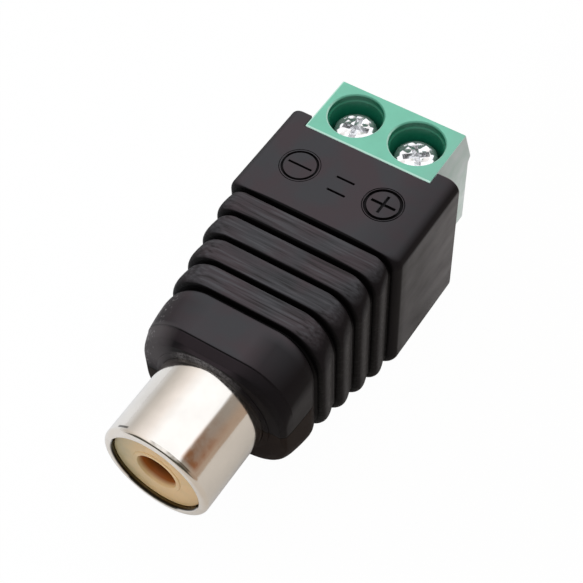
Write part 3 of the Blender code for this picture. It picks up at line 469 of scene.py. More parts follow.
def finish_piece(name, shape, body, material, replaces=(), place=SOCKET, smooth=35):
    """Make a piece from a bmesh, shade it, give it its material and let it ride on its body."""
    piece = as_object(name, shape)
    piece.location = place
    piece.data.shade_smooth()
    piece.data.set_sharp_from_angle(angle=math.radians(smooth))
    flatten = piece.modifiers.new("even shading", "WEIGHTED_NORMAL")
    flatten.keep_sharp = True
    piece.data.materials.append(material)
    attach(piece, body)
    if replaces:
        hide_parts(*replaces)
    return piece


def repaint(node, material):
    """Give a CAD node its finish."""
    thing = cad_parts[node]
    thing.data.materials.clear()
    thing.data.materials.append(material)


# Materials

def principled(name, base, roughness, metallic=0.0):
    """A Principled material, with the values that are the same all over set on its sockets."""
    material = bpy.data.materials.new(name)
    material.use_nodes = True
    shader = material.node_tree.nodes["Principled BSDF"]
    shader.inputs["Base Color"].default_value = (*base, 1.0)
    shader.inputs["Roughness"].default_value = roughness
    shader.inputs["Metallic"].default_value = metallic
    return material, material.node_tree, shader


def stretched(tree, scale):
    """Object coordinates stretched by a scale, so that noise can run into streaks."""
    place = tree.nodes.new("ShaderNodeTexCoord")
    mapping = tree.nodes.new("ShaderNodeMapping")
    mapping.inputs["Scale"].default_value = scale
    tree.links.new(place.outputs["Object"], mapping.inputs["Vector"])
    return mapping.outputs["Vector"]


def noise(tree, size, detail=3.0, stretch=(1, 1, 1)):
    """Noise whose features are about the given size, in metres."""
    texture = tree.nodes.new("ShaderNodeTexNoise")
    texture.inputs["Scale"].default_value = 1.0 / size
    texture.inputs["Detail"].default_value = detail
    tree.links.new(stretched(tree, stretch), texture.inputs["Vector"])
    return texture.outputs["Fac"]


def spread(tree, source, low, high, out_low, out_high):
    """Map a range of noise to a range of values."""
    ranger = tree.nodes.new("ShaderNodeMapRange")
    for socket, value in zip(("From Min", "From Max", "To Min", "To Max"), (low, high, out_low, out_high)):
        ranger.inputs[socket].default_value = value
    tree.links.new(source, ranger.inputs["Value"])
    return ranger.outputs["Result"]


def fade(tree, source, start, end, full=1.0):
    """0 as far as one value of the source, then rising to a full share at another."""
    return spread(tree, source, start, end, 0.0, full)


def blend(tree, amount, first, second):
    """Mix two colours, each a value or a socket, by an amount."""
    mixer = tree.nodes.new("ShaderNodeMix")
    mixer.data_type = "RGBA"
    tree.links.new(amount, mixer.inputs[0])
    for socket, paint in ((mixer.inputs[6], first), (mixer.inputs[7], second)):
        if isinstance(paint, bpy.types.NodeSocket):
            tree.links.new(paint, socket)
        else:
            socket.default_value = (*paint, 1.0)
    return mixer.outputs[2]


def bumped(tree, shader, layers):
    """Chain bumps, each (height socket, strength, depth in metres), into the shader's normal."""
    below = None
    for height, strength, depth in layers:
        bump = tree.nodes.new("ShaderNodeBump")
        bump.inputs["Strength"].default_value = strength
        bump.inputs["Distance"].default_value = depth
        tree.links.new(height, bump.inputs["Height"])
        if below:
            tree.links.new(below, bump.inputs["Normal"])
        below = bump.outputs["Normal"]
    tree.links.new(below, shader.inputs["Normal"])


def shaded(base, factor):
    """A colour made lighter or darker."""
    return tuple(min(1.0, channel * factor) for channel in base)


def tinted(base, red, green, blue):
    """A colour with its three channels made stronger or weaker."""
    return (base[0] * red, base[1] * green, base[2] * blue)


def layered(tree, base, layers):
    """Lay colours over a base one after another, each by its own share."""
    for share, paint in layers:
        base = blend(tree, share, base, paint)
    return base


def calc(tree, operation, *values):
    """Arithmetic on sockets and numbers."""
    node = tree.nodes.new("ShaderNodeMath")
    node.operation = operation
    for socket, value in zip(node.inputs, values):
        if isinstance(value, bpy.types.NodeSocket):
            tree.links.new(value, socket)
        else:
            socket.default_value = value
    return node.outputs[0]


def times(tree, *values):
    """The product of sockets and numbers."""
    product = values[0]
    for value in values[1:]:
        product = calc(tree, "MULTIPLY", product, value)
    return product


def without(tree, share):
    """What a share leaves over."""
    return calc(tree, "SUBTRACT", 1.0, share)


def parts(tree, output):
    """The three parts of a place, with output Object, or of a face's direction, with output Normal."""
    place = tree.nodes.new("ShaderNodeTexCoord")
    split = tree.nodes.new("ShaderNodeSeparateXYZ")
    tree.links.new(place.outputs[output], split.inputs[0])
    return split.outputs


def within(tree, source, low, high, soft):
    """1 between two values, fading to 0 over a soft edge outside them."""
    return times(tree, fade(tree, source, low - soft, low), fade(tree, source, high + soft, high))


def radius_of(tree):
    """How far a point lies from the socket's axis."""
    x, _, z = parts(tree, "Object")
    return calc(tree, "SQRT", calc(tree, "ADD", times(tree, x, x), times(tree, z, z)))


def past(place, distances):
    """A pair of places, at two distances past another."""
    return [place + distance for distance in distances]


# Limits of the moulding's painted light, painted shade and wear. A pair holds where a fade starts and where
# it is full, and a triple the two ends of a strip and its softness. The first five are parts of a face's
# normal, and the others places or distances from a named edge.
FLAT_FACES = (0.62, 0.97)
LEFT_FACES = (-0.4, -0.85)
FLANK_FACES = (0.95, 1.0)
RIB_END_FACES = (0.86, 0.99)
ALL_BUT_REAR_FACES = (0.9, 0.7)
LEFT_END = (-1.6 * MM, -4.0 * MM)
LEFT_SHOULDER = (-2.0 * MM, -4.2 * MM)
LEFT_CORNER = (-2.8 * MM, -4.3 * MM)
DUSTY_END = (-4.2 * MM, -5.6 * MM)
RIGHT_SHOULDER = (1.8 * MM, 3.3 * MM)
RIGHT_END = (3.0 * MM, 6.2 * MM)
UPPER_PART = (0.0, 1.5 * MM)
LEFT_FLANK_HEIGHT = (0.0, 2.5 * MM)
UNDER_PARTING = (0.05 * MM, -0.05 * MM)
PARTING_LINE = (-0.04 * MM, 0.04 * MM, 0.04 * MM)
FROM_LAST_GROOVE_TO_NOSE = (-0.3 * MM, -1.2 * MM)
FROM_FIRST_GROOVE_TO_BOX = (0.2 * MM, 1.6 * MM)
BEHIND_RIDGE = (-0.15 * MM, 0.1 * MM)
AHEAD_OF_RIDGE = (0.0, -0.1 * MM)
CORNER_OF_RIDGE = (0.3 * MM, -0.1 * MM)
REARWARD = (-5.0 * MM, -1.0 * MM)
REAR_LINE = (-0.09 * MM, -0.04 * MM)
GROOVE_WALL = 0.07 * MM
MARKS_ACROSS = (5.5 * MM, 5.4 * MM)
MARKS_BELOW_TOP = (-0.05 * MM, -0.12 * MM)
MARKS_BEHIND_GROOVE = (0.8 * MM, 0.9 * MM)
NOSE_FACE_DEPTH = (0.55 * MM, 0.35 * MM)
COLLAR_RADIUS = (4.75 * MM, 4.62 * MM)
COLLAR_HIGHLIGHT_HEIGHT = (2.2 * MM, 4.0 * MM)
COLLAR_HIGHLIGHT_WIDTH = (-1.9 * MM, 1.2 * MM, 1.6 * MM)

# Sizes of the moulding's noise, and the range of each noise that shows
CLOUD_SIZE, CLOUD_RANGE = 3.0 * MM, (0.4, 0.6)
STREAK_SIZE, STREAK_STRETCH = 0.2 * MM, (0.05, 1.0, 1.0)
LINE_RANGE, SCORE_RANGE = (0.50, 0.68), (0.46, 0.34)
SCUFF_SIZE, SCUFF_STRETCH, SCUFF_RANGE = 2.4 * MM, (1.0, 0.7, 1.4), (0.30, 0.62)
FLECK_SIZE, FLECK_RANGE = 0.14 * MM, (0.34, 0.62)
PATCH_SIZE, PATCH_RANGE = 1.1 * MM, (0.38, 0.55)
SPECK_SIZE, SPECK_RANGE = 0.2 * MM, (0.60, 0.65)
GRAIN_SIZE = 0.09 * MM


def groove_station(tree, m, last_groove):
    """How far a point lies behind the last groove, with the grooves' bow taken out."""
    x, y, z = parts(tree, "Object")
    outward = calc(tree, "DIVIDE", calc(tree, "ABSOLUTE", x), m.rib_first[0])
    side = times(tree, calc(tree, "POWER", outward, m.side_lead_power), m.side_lead)
    fall = m.under_lead / (m.box[1] + m.box[2])
    under = times(tree, calc(tree, "SUBTRACT", m.rib_last[1], z), fall)
    straight = calc(tree, "ADD", calc(tree, "ADD", y, side), under)
    return calc(tree, "SUBTRACT", straight, last_groove)


def painted_hollow_shade(tree, m, station, span):
    """Painted shade: 1 in the grooves and nearly 1 in the sunk marks, where no light and no wear reach."""
    half, floor = m.rib_pitch / 2, m.groove_floor / 2
    kept = calc(tree, "MINIMUM", calc(tree, "MAXIMUM", station, -half), span + half)
    away = calc(tree, "PINGPONG", kept, half)
    grooves = fade(tree, away, floor + GROOVE_WALL, floor)
    x, _, z = parts(tree, "Object")
    on_top = fade(tree, calc(tree, "ABSOLUTE", x), *MARKS_ACROSS)
    low = fade(tree, z, *past(m.box[1], MARKS_BELOW_TOP))
    behind = fade(tree, station, *past(span, MARKS_BEHIND_GROOVE), 0.85)
    return calc(tree, "MAXIMUM", grooves, times(tree, on_top, low, behind))


def painted_light_above(tree, m, on_nose):
    """Painted light on the faces that look up: less on the nose's front slope and towards its shoulders,
    and less towards the right end.
    """
    x, y, _ = parts(tree, "Object")
    _, _, up = parts(tree, "Normal")
    ridge = m.exposed + m.slope_run
    flat = fade(tree, up, *FLAT_FACES)
    behind_ridge = spread(tree, y, *past(ridge, BEHIND_RIDGE), 0.35, 1.0)
    left_end = fade(tree, x, *LEFT_END, 0.9)
    right_end = spread(tree, x, *RIGHT_END, 1.0, 0.7)
    left_shoulder = fade(tree, x, *LEFT_SHOULDER, 0.4)
    right_shoulder = fade(tree, x, *RIGHT_SHOULDER, 0.65)
    shoulders = times(tree, calc(tree, "ADD", left_shoulder, right_shoulder), on_nose)
    slope = calc(tree, "MAXIMUM", behind_ridge, left_end)
    return times(tree, flat, slope, right_end, without(tree, shoulders))


def painted_light_left(tree, on_nose):
    """Painted light on the nose's left flank: most where it faces sideways, and high up."""
    _, _, z = parts(tree, "Object")
    across, _, up = parts(tree, "Normal")
    sideways = fade(tree, across, *LEFT_FACES)
    steep = spread(tree, up, 0.35, 0.65, 1.0, 0.2)
    high = spread(tree, z, *LEFT_FLANK_HEIGHT, 0.25, 1.0)
    return times(tree, sideways, on_nose, steep, high)


def painted_light_corner(tree, ridge):
    """Painted light on the upper left corner of the nose's face."""
    x, y, z = parts(tree, "Object")
    left, ahead = fade(tree, x, *LEFT_CORNER, 0.8), fade(tree, y, *past(ridge, CORNER_OF_RIDGE))
    return times(tree, left, ahead, fade(tree, z, *UPPER_PART))


def collar_highlight(tree, m):
    """Painted highlight on top of the low collar round the shell, in pale flecks and patches."""
    x, y, z = parts(tree, "Object")
    on_face = fade(tree, y, *past(m.exposed, NOSE_FACE_DEPTH))
    on_collar = fade(tree, radius_of(tree), *COLLAR_RADIUS)
    flecks = spread(tree, noise(tree, FLECK_SIZE), *FLECK_RANGE, 0.25, 1.0)
    patches = spread(tree, noise(tree, PATCH_SIZE), *PATCH_RANGE, 0.35, 1.0)
    high, middle = fade(tree, z, *COLLAR_HIGHLIGHT_HEIGHT), within(tree, x, *COLLAR_HIGHLIGHT_WIDTH)
    return times(tree, on_face, on_collar, flecks, high, patches, middle)


def dust_specks(tree, on_nose):
    """Pale specks on the upper left of the nose."""
    x, _, z = parts(tree, "Object")
    specks = fade(tree, noise(tree, SPECK_SIZE), *SPECK_RANGE)
    return times(tree, specks, on_nose, fade(tree, x, *DUSTY_END, 0.9), fade(tree, z, *UPPER_PART))


def rear_rim_highlight(tree):
    """A painted highlight: the pale line along the rim of the moulding's rear, but not its rear face."""
    _, y, _ = parts(tree, "Object")
    _, along, _ = parts(tree, "Normal")
    at_rear = fade(tree, y, *past(HOUSING_HIGH.y, REAR_LINE), 0.8)
    return times(tree, at_rear, fade(tree, along, *ALL_BUT_REAR_FACES))


def lit_and_worn_tint(tree, m, streaks, on_ribs):
    """Colour of the lit faces, painted light with real marks: clouded, streaked and scored on the ribs,
    reddish on the front slope.
    """
    _, y, _ = parts(tree, "Object")
    ridge = m.exposed + m.slope_run
    plum, blue = tinted(m.bloom_and_sheen, 1.06, 0.91, 1.0), tinted(m.bloom_and_sheen, 0.94, 0.99, 1.07)
    cloud = fade(tree, noise(tree, CLOUD_SIZE, 2.0), *CLOUD_RANGE)
    scored = times(tree, fade(tree, streaks, *SCORE_RANGE, 0.7), on_ribs)
    ahead = fade(tree, y, *past(ridge, AHEAD_OF_RIDGE), 0.8)
    return layered(tree, blend(tree, cloud, plum, blue), (
        (rib_lines(tree, streaks, on_ribs), shaded(blue, 1.7)),
        (scored, shaded(m.bloom_and_sheen, 0.35)),
        (ahead, tinted(m.bloom_and_sheen, 1.12, 0.80, 0.95)),
    ))


def rib_lines(tree, streaks, on_ribs):
    """The raised lines along the ribs."""
    return times(tree, fade(tree, streaks, *LINE_RANGE, 0.7), on_ribs)


def black_moulding(m, last_groove):
    """Satin black plastic: painted light where it lies flat and on its sides, streaked on the ribs, painted
    black shade in its grooves.
    """
    material, tree, shader = principled("black_moulding", m.paint, 0.5)
    shader.inputs["Specular IOR Level"].default_value = 0.09
    _, y, z = parts(tree, "Object")
    sideways = calc(tree, "ABSOLUTE", parts(tree, "Normal")[0])
    station, span = groove_station(tree, m, last_groove), m.rib_count * m.rib_pitch
    on_ribs = within(tree, station, 0.0, span, 0.1 * MM)
    on_box = spread(tree, station, *past(span, FROM_FIRST_GROOVE_TO_BOX), 0.3, 1.0)
    on_nose = fade(tree, station, *FROM_LAST_GROOVE_TO_NOSE)
    left, corner = painted_light_left(tree, on_nose), painted_light_corner(tree, m.exposed + m.slope_run)
    # Painted light: faces that look up, the nose's left flank and the upper left corner of its face are
    # made lighter in colour
    lit_and_worn = calc(tree, "MAXIMUM", painted_light_above(tree, m, on_nose), calc(tree, "MAXIMUM", left, corner))
    streaks = noise(tree, STREAK_SIZE, 4.0, STREAK_STRETCH)
    cool, pale = tinted(m.bloom_and_sheen, 1.0, 1.06, 1.12), shaded(m.bloom_and_sheen, 6.0)
    scuffs = spread(tree, noise(tree, SCUFF_SIZE, 8.0, SCUFF_STRETCH), *SCUFF_RANGE, 0.62, 1.0)
    # Painted sheen on the box's sides, lighter towards the rear and broken by scuffs
    scuffed_side_sheen = times(tree, fade(tree, sideways, *FLANK_FACES), on_box, scuffs)
    rearward = fade(tree, y, *past(HOUSING_HIGH.y, REARWARD))
    # Painted highlights along the ribs' crests where they face sideways
    rib_crest_highlights = times(tree, fade(tree, sideways, *RIB_END_FACES, 0.5), on_ribs)
    # Painted brownish reflected light on the nose's underside
    below = times(tree, fade(tree, z, *UNDER_PARTING), on_nose)
    parting = times(tree, within(tree, z, *PARTING_LINE), on_nose)
    # Painted light on lit faces, sides and the collar, painted highlights on the rib crests and the rear
    # rim, painted reflected light under the nose and painted shade in the grooves and marks; the specks and
    # the parting line are the moulding's own
    skin = layered(tree, m.paint, (
        (lit_and_worn, lit_and_worn_tint(tree, m, streaks, on_ribs)),
        (times(tree, left, 0.7), shaded(m.bloom_and_sheen, 3.0)),
        (times(tree, corner, 0.8), shaded(m.bloom_and_sheen, 1.9)),
        (scuffed_side_sheen, blend(tree, rearward, shaded(cool, 2.1), shaded(cool, 3.3))),
        (rib_crest_highlights, shaded(cool, 1.2)),
        (collar_highlight(tree, m), shaded(m.bloom_and_sheen, 3.8)),
        (below, m.warm_bounce),
        (dust_specks(tree, on_nose), pale),
        (parting, BLACK),
        (rear_rim_highlight(tree), pale),
        (painted_hollow_shade(tree, m, station, span), shaded(m.paint, 0.25)),
    ))
    tree.links.new(skin, shader.inputs["Base Color"])
    lines, grain = rib_lines(tree, streaks, on_ribs), noise(tree, GRAIN_SIZE, 2.0)
    tree.links.new(spread(tree, lines, 0.0, 0.7, 0.6, 0.45), shader.inputs["Roughness"])
    bumped(tree, shader, ((grain, 0.35, 0.012 * MM), (lines, 0.4, 0.02 * MM),
                          (without(tree, parting), 0.6, 0.05 * MM)))
    return material


# Limits of the block's looks, as pairs in the same way. The first three are parts of a face's normal, or of
# its product with what it leaves over, and the others places or distances from a named edge.
SIDE_FACES = (0.6, 0.9)
FAR_RIM_FACES = (0.15, -0.35)
SLANTING_FACES = (0.12, 0.20)
GREYING_END = (3.6 * MM, 5.2 * MM)
SIDE_SKIN = (-0.25 * MM, -0.2 * MM)
SIDE_GLARE_DEPTH = (-2.0 * MM, -8.0 * MM)
FRONT_EDGE = (0.16 * MM, 0.11 * MM)
LEFT_EDGE = (0.15 * MM, 0.10 * MM)
WELLS_ACROSS = (4.8 * MM, 4.75 * MM)
WELLS_MARGIN, WELLS_SOFTNESS = 0.1 * MM, 0.02 * MM
FAR_RIM_RISE = 0.12 * MM
WELL_SHADE_DEPTH = (-0.12 * MM, -0.25 * MM)


def edge_highlights(tree, front):
    """Painted highlights on the block's edges round its wells and its slope, at its front and on its left.
    """
    x, y, _ = parts(tree, "Object")
    _, _, up = parts(tree, "Normal")
    slanting = fade(tree, times(tree, up, without(tree, up)), *SLANTING_FACES, 0.6)
    front_edge = fade(tree, y, *past(front, FRONT_EDGE), 0.7)
    left_edge = fade(tree, x, *past(BLOCK_LOW.x, LEFT_EDGE), 0.6)
    return calc(tree, "MAXIMUM", slanting, calc(tree, "MAXIMUM", front_edge, left_edge))


def green_moulding(t, front):
    """Green plastic: painted shade in deep green inside the wells, painted highlights on its edges, painted
    glare on its scuffed sides.
    """
    material, tree, shader = principled("green_moulding", t.green, 0.38)
    x, y, z = parts(tree, "Object")
    across, along, _ = parts(tree, "Normal")
    outward = calc(tree, "ABSOLUTE", x)
    cloud = fade(tree, noise(tree, 2.2 * MM, 3.0), 0.35, 0.65)
    scuffs = spread(tree, noise(tree, 1.1 * MM, 4.0), 0.3, 0.7, 0.7, 1.0)
    # Greyer and darker towards the plus side's end of the top
    greying = times(tree, fade(tree, x, *GREYING_END, 0.5), scuffs)
    # Painted glare on the block's sides, lighter low down, broken by scuffs
    sides = times(tree, fade(tree, calc(tree, "ABSOLUTE", across), *SIDE_FACES), scuffs,
                  fade(tree, outward, *past(BLOCK_HIGH.x, SIDE_SKIN)))
    low = fade(tree, z, *past(BLOCK_HIGH.z, SIDE_GLARE_DEPTH))
    wells_start, wells_end = front + WELLS_MARGIN, front + t.top_depth - WELLS_MARGIN
    inner = times(tree, fade(tree, outward, *WELLS_ACROSS),
                  within(tree, y, wells_start, wells_end, WELLS_SOFTNESS))
    far = times(tree, inner, fade(tree, along, *FAR_RIM_FACES))
    height = calc(tree, "SUBTRACT", z, times(tree, far, FAR_RIM_RISE))
    # Painted shade in deep green inside the wells, below their rims
    deep = fade(tree, height, *past(BLOCK_HIGH.z, WELL_SHADE_DEPTH))
    skin = layered(tree, blend(tree, cloud, shaded(t.green, 0.92), t.green), (
        (greying, t.greyish_green),
        (sides, blend(tree, low, t.side_glare, shaded(t.side_glare, 1.6))),
        (times(tree, edge_highlights(tree, front), without(tree, far)), t.edge_highlight_green),
        (times(tree, inner, deep), t.well_shade_green),
    ))
    tree.links.new(skin, shader.inputs["Base Color"])
    fine = noise(tree, 0.12 * MM, 3.0)
    tree.links.new(spread(tree, fine, 0.3, 0.7, 0.32, 0.44), shader.inputs["Roughness"])
    bumped(tree, shader, ((fine, 0.2, 0.008 * MM),))
    return material


# Limits of the insulator's painted shade and amber: its olive side of painted shade, and the depths of
# amber and of dark amber, which is painted shade
OLIVE_SIDE = (-0.4 * MM, -2.9 * MM)
AMBER_DEPTH = (0.06 * MM, 0.4 * MM)
HOLE_SHADE_DEPTH = (0.5 * MM, 1.1 * MM)


def cream_moulding(s):
    """Cream plastic, with painted shade in olive on one side, amber deep in its hole, and painted shade
    darkening the amber deeper still.
    """
    material, tree, shader = principled("cream_moulding", s.cream, 0.42)
    shader.inputs["Subsurface Weight"].default_value = 0.12
    shader.inputs["Subsurface Radius"].default_value = (1.0, 0.6, 0.3)
    shader.inputs["Subsurface Scale"].default_value = 0.4 * MM
    x, y, _ = parts(tree, "Object")
    face = INSULATOR_LOW.y - s.face_rise
    cloud = spread(tree, noise(tree, 1.2 * MM, 3.0), 0.35, 0.65, -0.15, 0.15)
    # Painted shade: olive towards the minus side, spread a little at random
    painted_shade = calc(tree, "ADD", fade(tree, x, *OLIVE_SIDE), cloud)
    skin = layered(tree, s.cream, (
        (painted_shade, s.olive),
        (fade(tree, y, *past(face, AMBER_DEPTH)), s.amber),
        # Painted shade that darkens the amber deeper in the hole
        (fade(tree, y, *past(face, HOLE_SHADE_DEPTH), 0.8), shaded(s.amber, 0.2)),
    ))
    tree.links.new(skin, shader.inputs["Base Color"])
    fine = noise(tree, 0.1 * MM, 3.0)
    bumped(tree, shader, ((fine, 0.2, 0.008 * MM),))
    return material


# Places of the shell's marks. A sector is two angles and a softness in degrees, a strip two stations and a
# softness behind the rim, and a pair where a fade starts and where it is full.
BROWN_BAND_SECTOR, BROWN_BAND_START, BROWN_BAND_REACH = (35, 47, 5), (0.4 * MM, 0.7 * MM), (5.0 * MM, 1.2 * MM)
NICK_SECTOR, NICK_STRIP = (-40, -28, 2), (0.42 * MM, 0.54 * MM, 0.05 * MM)
RIM_REFLECTION_SECTOR, RIM_REFLECTION_STRIP = (6, 52, 6), (0.18 * MM, 0.31 * MM, 0.04 * MM)
DULL_RIM = (0.4 * MM, 0.2 * MM)
MOUTH_WALL = (0.08 * MM, 0.02 * MM)
MOUTH_DEPTH = (0.15 * MM, 0.4 * MM)


def sector(tree, start, end, soft):
    """1 between two angles round the socket's axis, in degrees from the top to the plus side."""
    x, _, z = parts(tree, "Object")
    turn = calc(tree, "ARCTAN2", x, z)
    return within(tree, turn, math.radians(start), math.radians(end), math.radians(soft))


def stained(tree, base):
    """A plating's colour with faint, soft stains."""
    stain = fade(tree, noise(tree, 1.6 * MM, 3.0), 0.35, 0.7)
    return blend(tree, stain, base, shaded(base, 0.93))


def shell_plating(s):
    """Bright nickel, a little wavy, with a brown band in blots, a nick, a painted dark reflection along the
    rim and painted shade in its mouth.
    """
    material, tree, shader = principled("nickel_plate", s.nickel, 0.11, 1.0)
    _, y, _ = parts(tree, "Object")
    blots = spread(tree, noise(tree, 1.0 * MM, 4.0), 0.40, 0.58, 0.55, 1.0)
    brown_band = times(tree, blots, sector(tree, *BROWN_BAND_SECTOR), fade(tree, y, *BROWN_BAND_REACH),
                 fade(tree, y, *BROWN_BAND_START))
    nick = times(tree, sector(tree, *NICK_SECTOR), within(tree, y, *NICK_STRIP), 0.8)
    broken_up = spread(tree, noise(tree, 1.3 * MM, 2.0), 0.42, 0.56, 0.15, 0.95)
    # Painted reflection: a dark, broken line along the top of the rim
    rim_reflection = times(tree, sector(tree, *RIM_REFLECTION_SECTOR), within(tree, y, *RIM_REFLECTION_STRIP), broken_up)
    # Painted shade and dark reflection inside the shell's mouth, darkest near its front
    mouth = fade(tree, radius_of(tree), *past(s.bore_radius, MOUTH_WALL))
    inside = fade(tree, y, *MOUTH_DEPTH)
    skin = layered(tree, stained(tree, s.nickel), (
        (brown_band, s.brown_band),
        (nick, s.tarnish_and_shade),
        (rim_reflection, shaded(s.olive, 0.12)),
        (times(tree, fade(tree, y, *DULL_RIM, 0.6), blots), s.dull),
        (mouth, blend(tree, inside, s.tarnish_and_shade, shaded(s.olive, 0.45))),
    ))
    tree.links.new(skin, shader.inputs["Base Color"])
    marks = noise(tree, 0.16 * MM, 3.0, (1.0, 0.06, 1.0))
    tree.links.new(spread(tree, marks, 0.3, 0.7, 0.08, 0.15), shader.inputs["Roughness"])
    waves = noise(tree, 2.4 * MM, 2.0, (1.0, 0.6, 1.0))
    bumped(tree, shader, ((waves, 0.5, 0.06 * MM), (marks, 0.05, 0.01 * MM)))
    return material


def plated(name, base, roughness, turning=0.0, axis_stretch=(1, 1, 1), dents=0.0):
    """Bright plating over metal, with fine marks from its making and small dents."""
    material, tree, shader = principled(name, base, roughness, 1.0)
    tree.links.new(stained(tree, base), shader.inputs["Base Color"])
    marks = noise(tree, 0.16 * MM, 3.0, axis_stretch)
    tree.links.new(spread(tree, marks, 0.3, 0.7, roughness * 0.7, roughness * 1.4),
                   shader.inputs["Roughness"])
    layers = [(marks, max(turning, 0.02), 0.01 * MM)]
    if dents:
        shader.inputs["Metallic"].default_value = 0.88
        facets = tree.nodes.new("ShaderNodeTexVoronoi")
        facets.inputs["Scale"].default_value = 1.0 / (0.55 * MM)
        tree.links.new(stretched(tree, (1, 1, 1)), facets.inputs["Vector"])
        layers.append((facets.outputs["Distance"], dents, 0.12 * MM))
    bumped(tree, shader, layers)
    return material


def jacket_plastic(name, base):
    """Soft cable jacket, slightly dull."""
    material, tree, shader = principled(name, base, 0.5)
    fine = noise(tree, 0.15 * MM, 3.0)
    tree.links.new(blend(tree, fine, shaded(base, 0.9), shaded(base, 1.15)), shader.inputs["Base Color"])
    bumped(tree, shader, ((fine, 0.2, 0.01 * MM),))
    return material


# Moulding

def fullness(share, roundness):
    """How full a rounded rib is, from 0 in its groove to 1 at its crest."""
    return (1 - min(1.0, abs(share)) ** roundness) ** (1 / roundness)


def mixed(start, end, share):
    """Blend two sections."""
    return [a + (b - a) * share for a, b in zip(start, end)]


def sunk(sizes, groove, side_share, top_share):
    """A section drawn in by shares of the groove's depth, at its sides and on top."""
    shares = (side_share, top_share, side_share, side_share, side_share)
    return [size - depth * share for size, depth, share in zip(sizes, groove, shares)]


def eased_shares(steps):
    """Shares from 0 to 1 that crowd together at both ends."""
    return [(1 - math.cos(math.pi * step / steps)) / 2 for step in range(steps + 1)]


def under_slope(m, station, sizes):
    """A section of the nose with its top brought down to the slope over the face."""
    share = 1 - (station - m.exposed) / m.slope_run
    if share <= 0:
        return sizes
    return [sizes[0], sizes[1] - m.slope_step - share * m.slope_drop, *sizes[2:]]


def nose_sections(m, last_groove):
    """The nose swells from its face, under a sloped top, and dips into the last groove."""
    rear, tip = last_groove - m.groove_floor / 2, m.exposed + m.edge_depth
    swell_length = rear - m.end_round - tip
    ridge = m.exposed + m.slope_run
    stations = [tip + share * swell_length for share in eased_shares(NOSE_STEPS)]
    stations += [ridge - m.slope_step / 2, ridge]
    sections = [(m.exposed, list(m.nose_edge))]
    for station in sorted(stations):
        swell = math.sqrt(1 - (1 - (station - tip) / swell_length) ** m.nose_roundness)
        sections.append((station, under_slope(m, station, mixed(m.nose_tip, m.nose_root, swell))))
    for share in eased_shares(EDGE_STEPS)[1:]:
        side, top = (1 - fullness(share, roundness) for roundness in (m.side_roundness, m.top_roundness))
        sections.append((rear - (1 - share) * m.end_round, sunk(m.nose_root, m.groove, side, top)))
    return sections


def rib_sections(m, last_groove, first_groove):
    """Each rib is a bead that leans forward, rounded at its sides and flat on top."""
    first, last = first_groove - m.rib_pitch / 2, last_groove + m.rib_pitch / 2
    sections = []
    for rib in range(m.rib_count):
        for share in eased_shares(RIB_STEPS):
            across = 2 * share - 1
            station = last + rib * m.rib_pitch + across * (m.rib_pitch - m.groove_floor) / 2
            crest = mixed(m.rib_last, m.rib_first, (station - last) / (first - last))
            side = 1 - fullness(across + m.rib_lean * (1 - across ** 2), m.side_roundness)
            sections.append((station, sunk(crest, m.groove, side, 1 - fullness(across, m.top_roundness))))
    return sections


def box_sections(m, last_groove, first_groove, rear):
    """The plain box rises out of the first groove and runs to the rear."""
    first, last = first_groove - m.rib_pitch / 2, last_groove + m.rib_pitch / 2
    crest = mixed(m.rib_last, m.rib_first, (first_groove - last) / (first - last))
    front = first_groove + m.groove_floor / 2
    sections = []
    for share in eased_shares(EDGE_STEPS):
        side, top = (1 - fullness(1 - share, roundness)
                     for roundness in (m.side_roundness, m.top_roundness))
        grown = mixed(crest, m.box, 1 - side)
        grown[1] = crest[1] + (m.box[1] - crest[1]) * (1 - top)
        sections.append((front + share * m.box_round, sunk(grown, m.groove, side, top)))
    return sections + [(rear, m.box)]


def groove_lead(m, last_groove, first_groove):
    """The rule by which the grooves come forward at the moulding's sides and underneath."""
    def lead(x, z, station, sizes):
        onset = (station - last_groove) / m.lead_in + 1
        ending = (first_groove - station) / m.lead_out + 1
        share = max(0.0, min(1.0, onset)) * max(0.0, min(1.0, ending))
        sideways = m.side_lead * abs(x / sizes[0]) ** m.side_lead_power
        return share * (sideways + m.under_lead * (sizes[1] - z) / (sizes[1] + sizes[2]))
    return lead


def block_front():
    """Stations of the block's front edge, at its top and at its shoulder below."""
    t = settings().terminal
    slope_out = BLOCK_HIGH.y - BLOCK_LOW.y - t.top_depth
    front = BLOCK_LOW.y + slope_out / 2
    return front, BLOCK_LOW.y


def pocket_shape(m):
    """The pocket that holds the block's front, open above and behind."""
    front, shoulder = block_front()
    rear, above, low = HOUSING_HIGH.y + OVERCUT, BLOCK_HIGH.z + OVERCUT, BLOCK_LOW.z - m.pocket_gap
    slope = BLOCK_HIGH.z - settings().terminal.slope_drop
    half, gap = BLOCK_HIGH.x + m.pocket_gap, m.pocket_gap
    outline = [(shoulder - gap, low), (rear, low), (rear, above), (front - gap, above),
               (front - gap, BLOCK_HIGH.z), (shoulder - gap, slope)]
    return extruded(outline, -half, half, across_x)


def ring_cutter(place, radius, top, depth, wide, slant):
    """A cutter for a sunk ring."""
    profile = [(radius - wide / 2, top - depth), (radius + wide / 2, top - depth),
               (radius + wide / 2 + slant, top + depth), (radius - wide / 2 - slant, top + depth)]
    ring = turned(profile, RING_SIDES, "Z")
    bmesh.ops.translate(ring, verts=ring.verts, vec=place)
    return ring


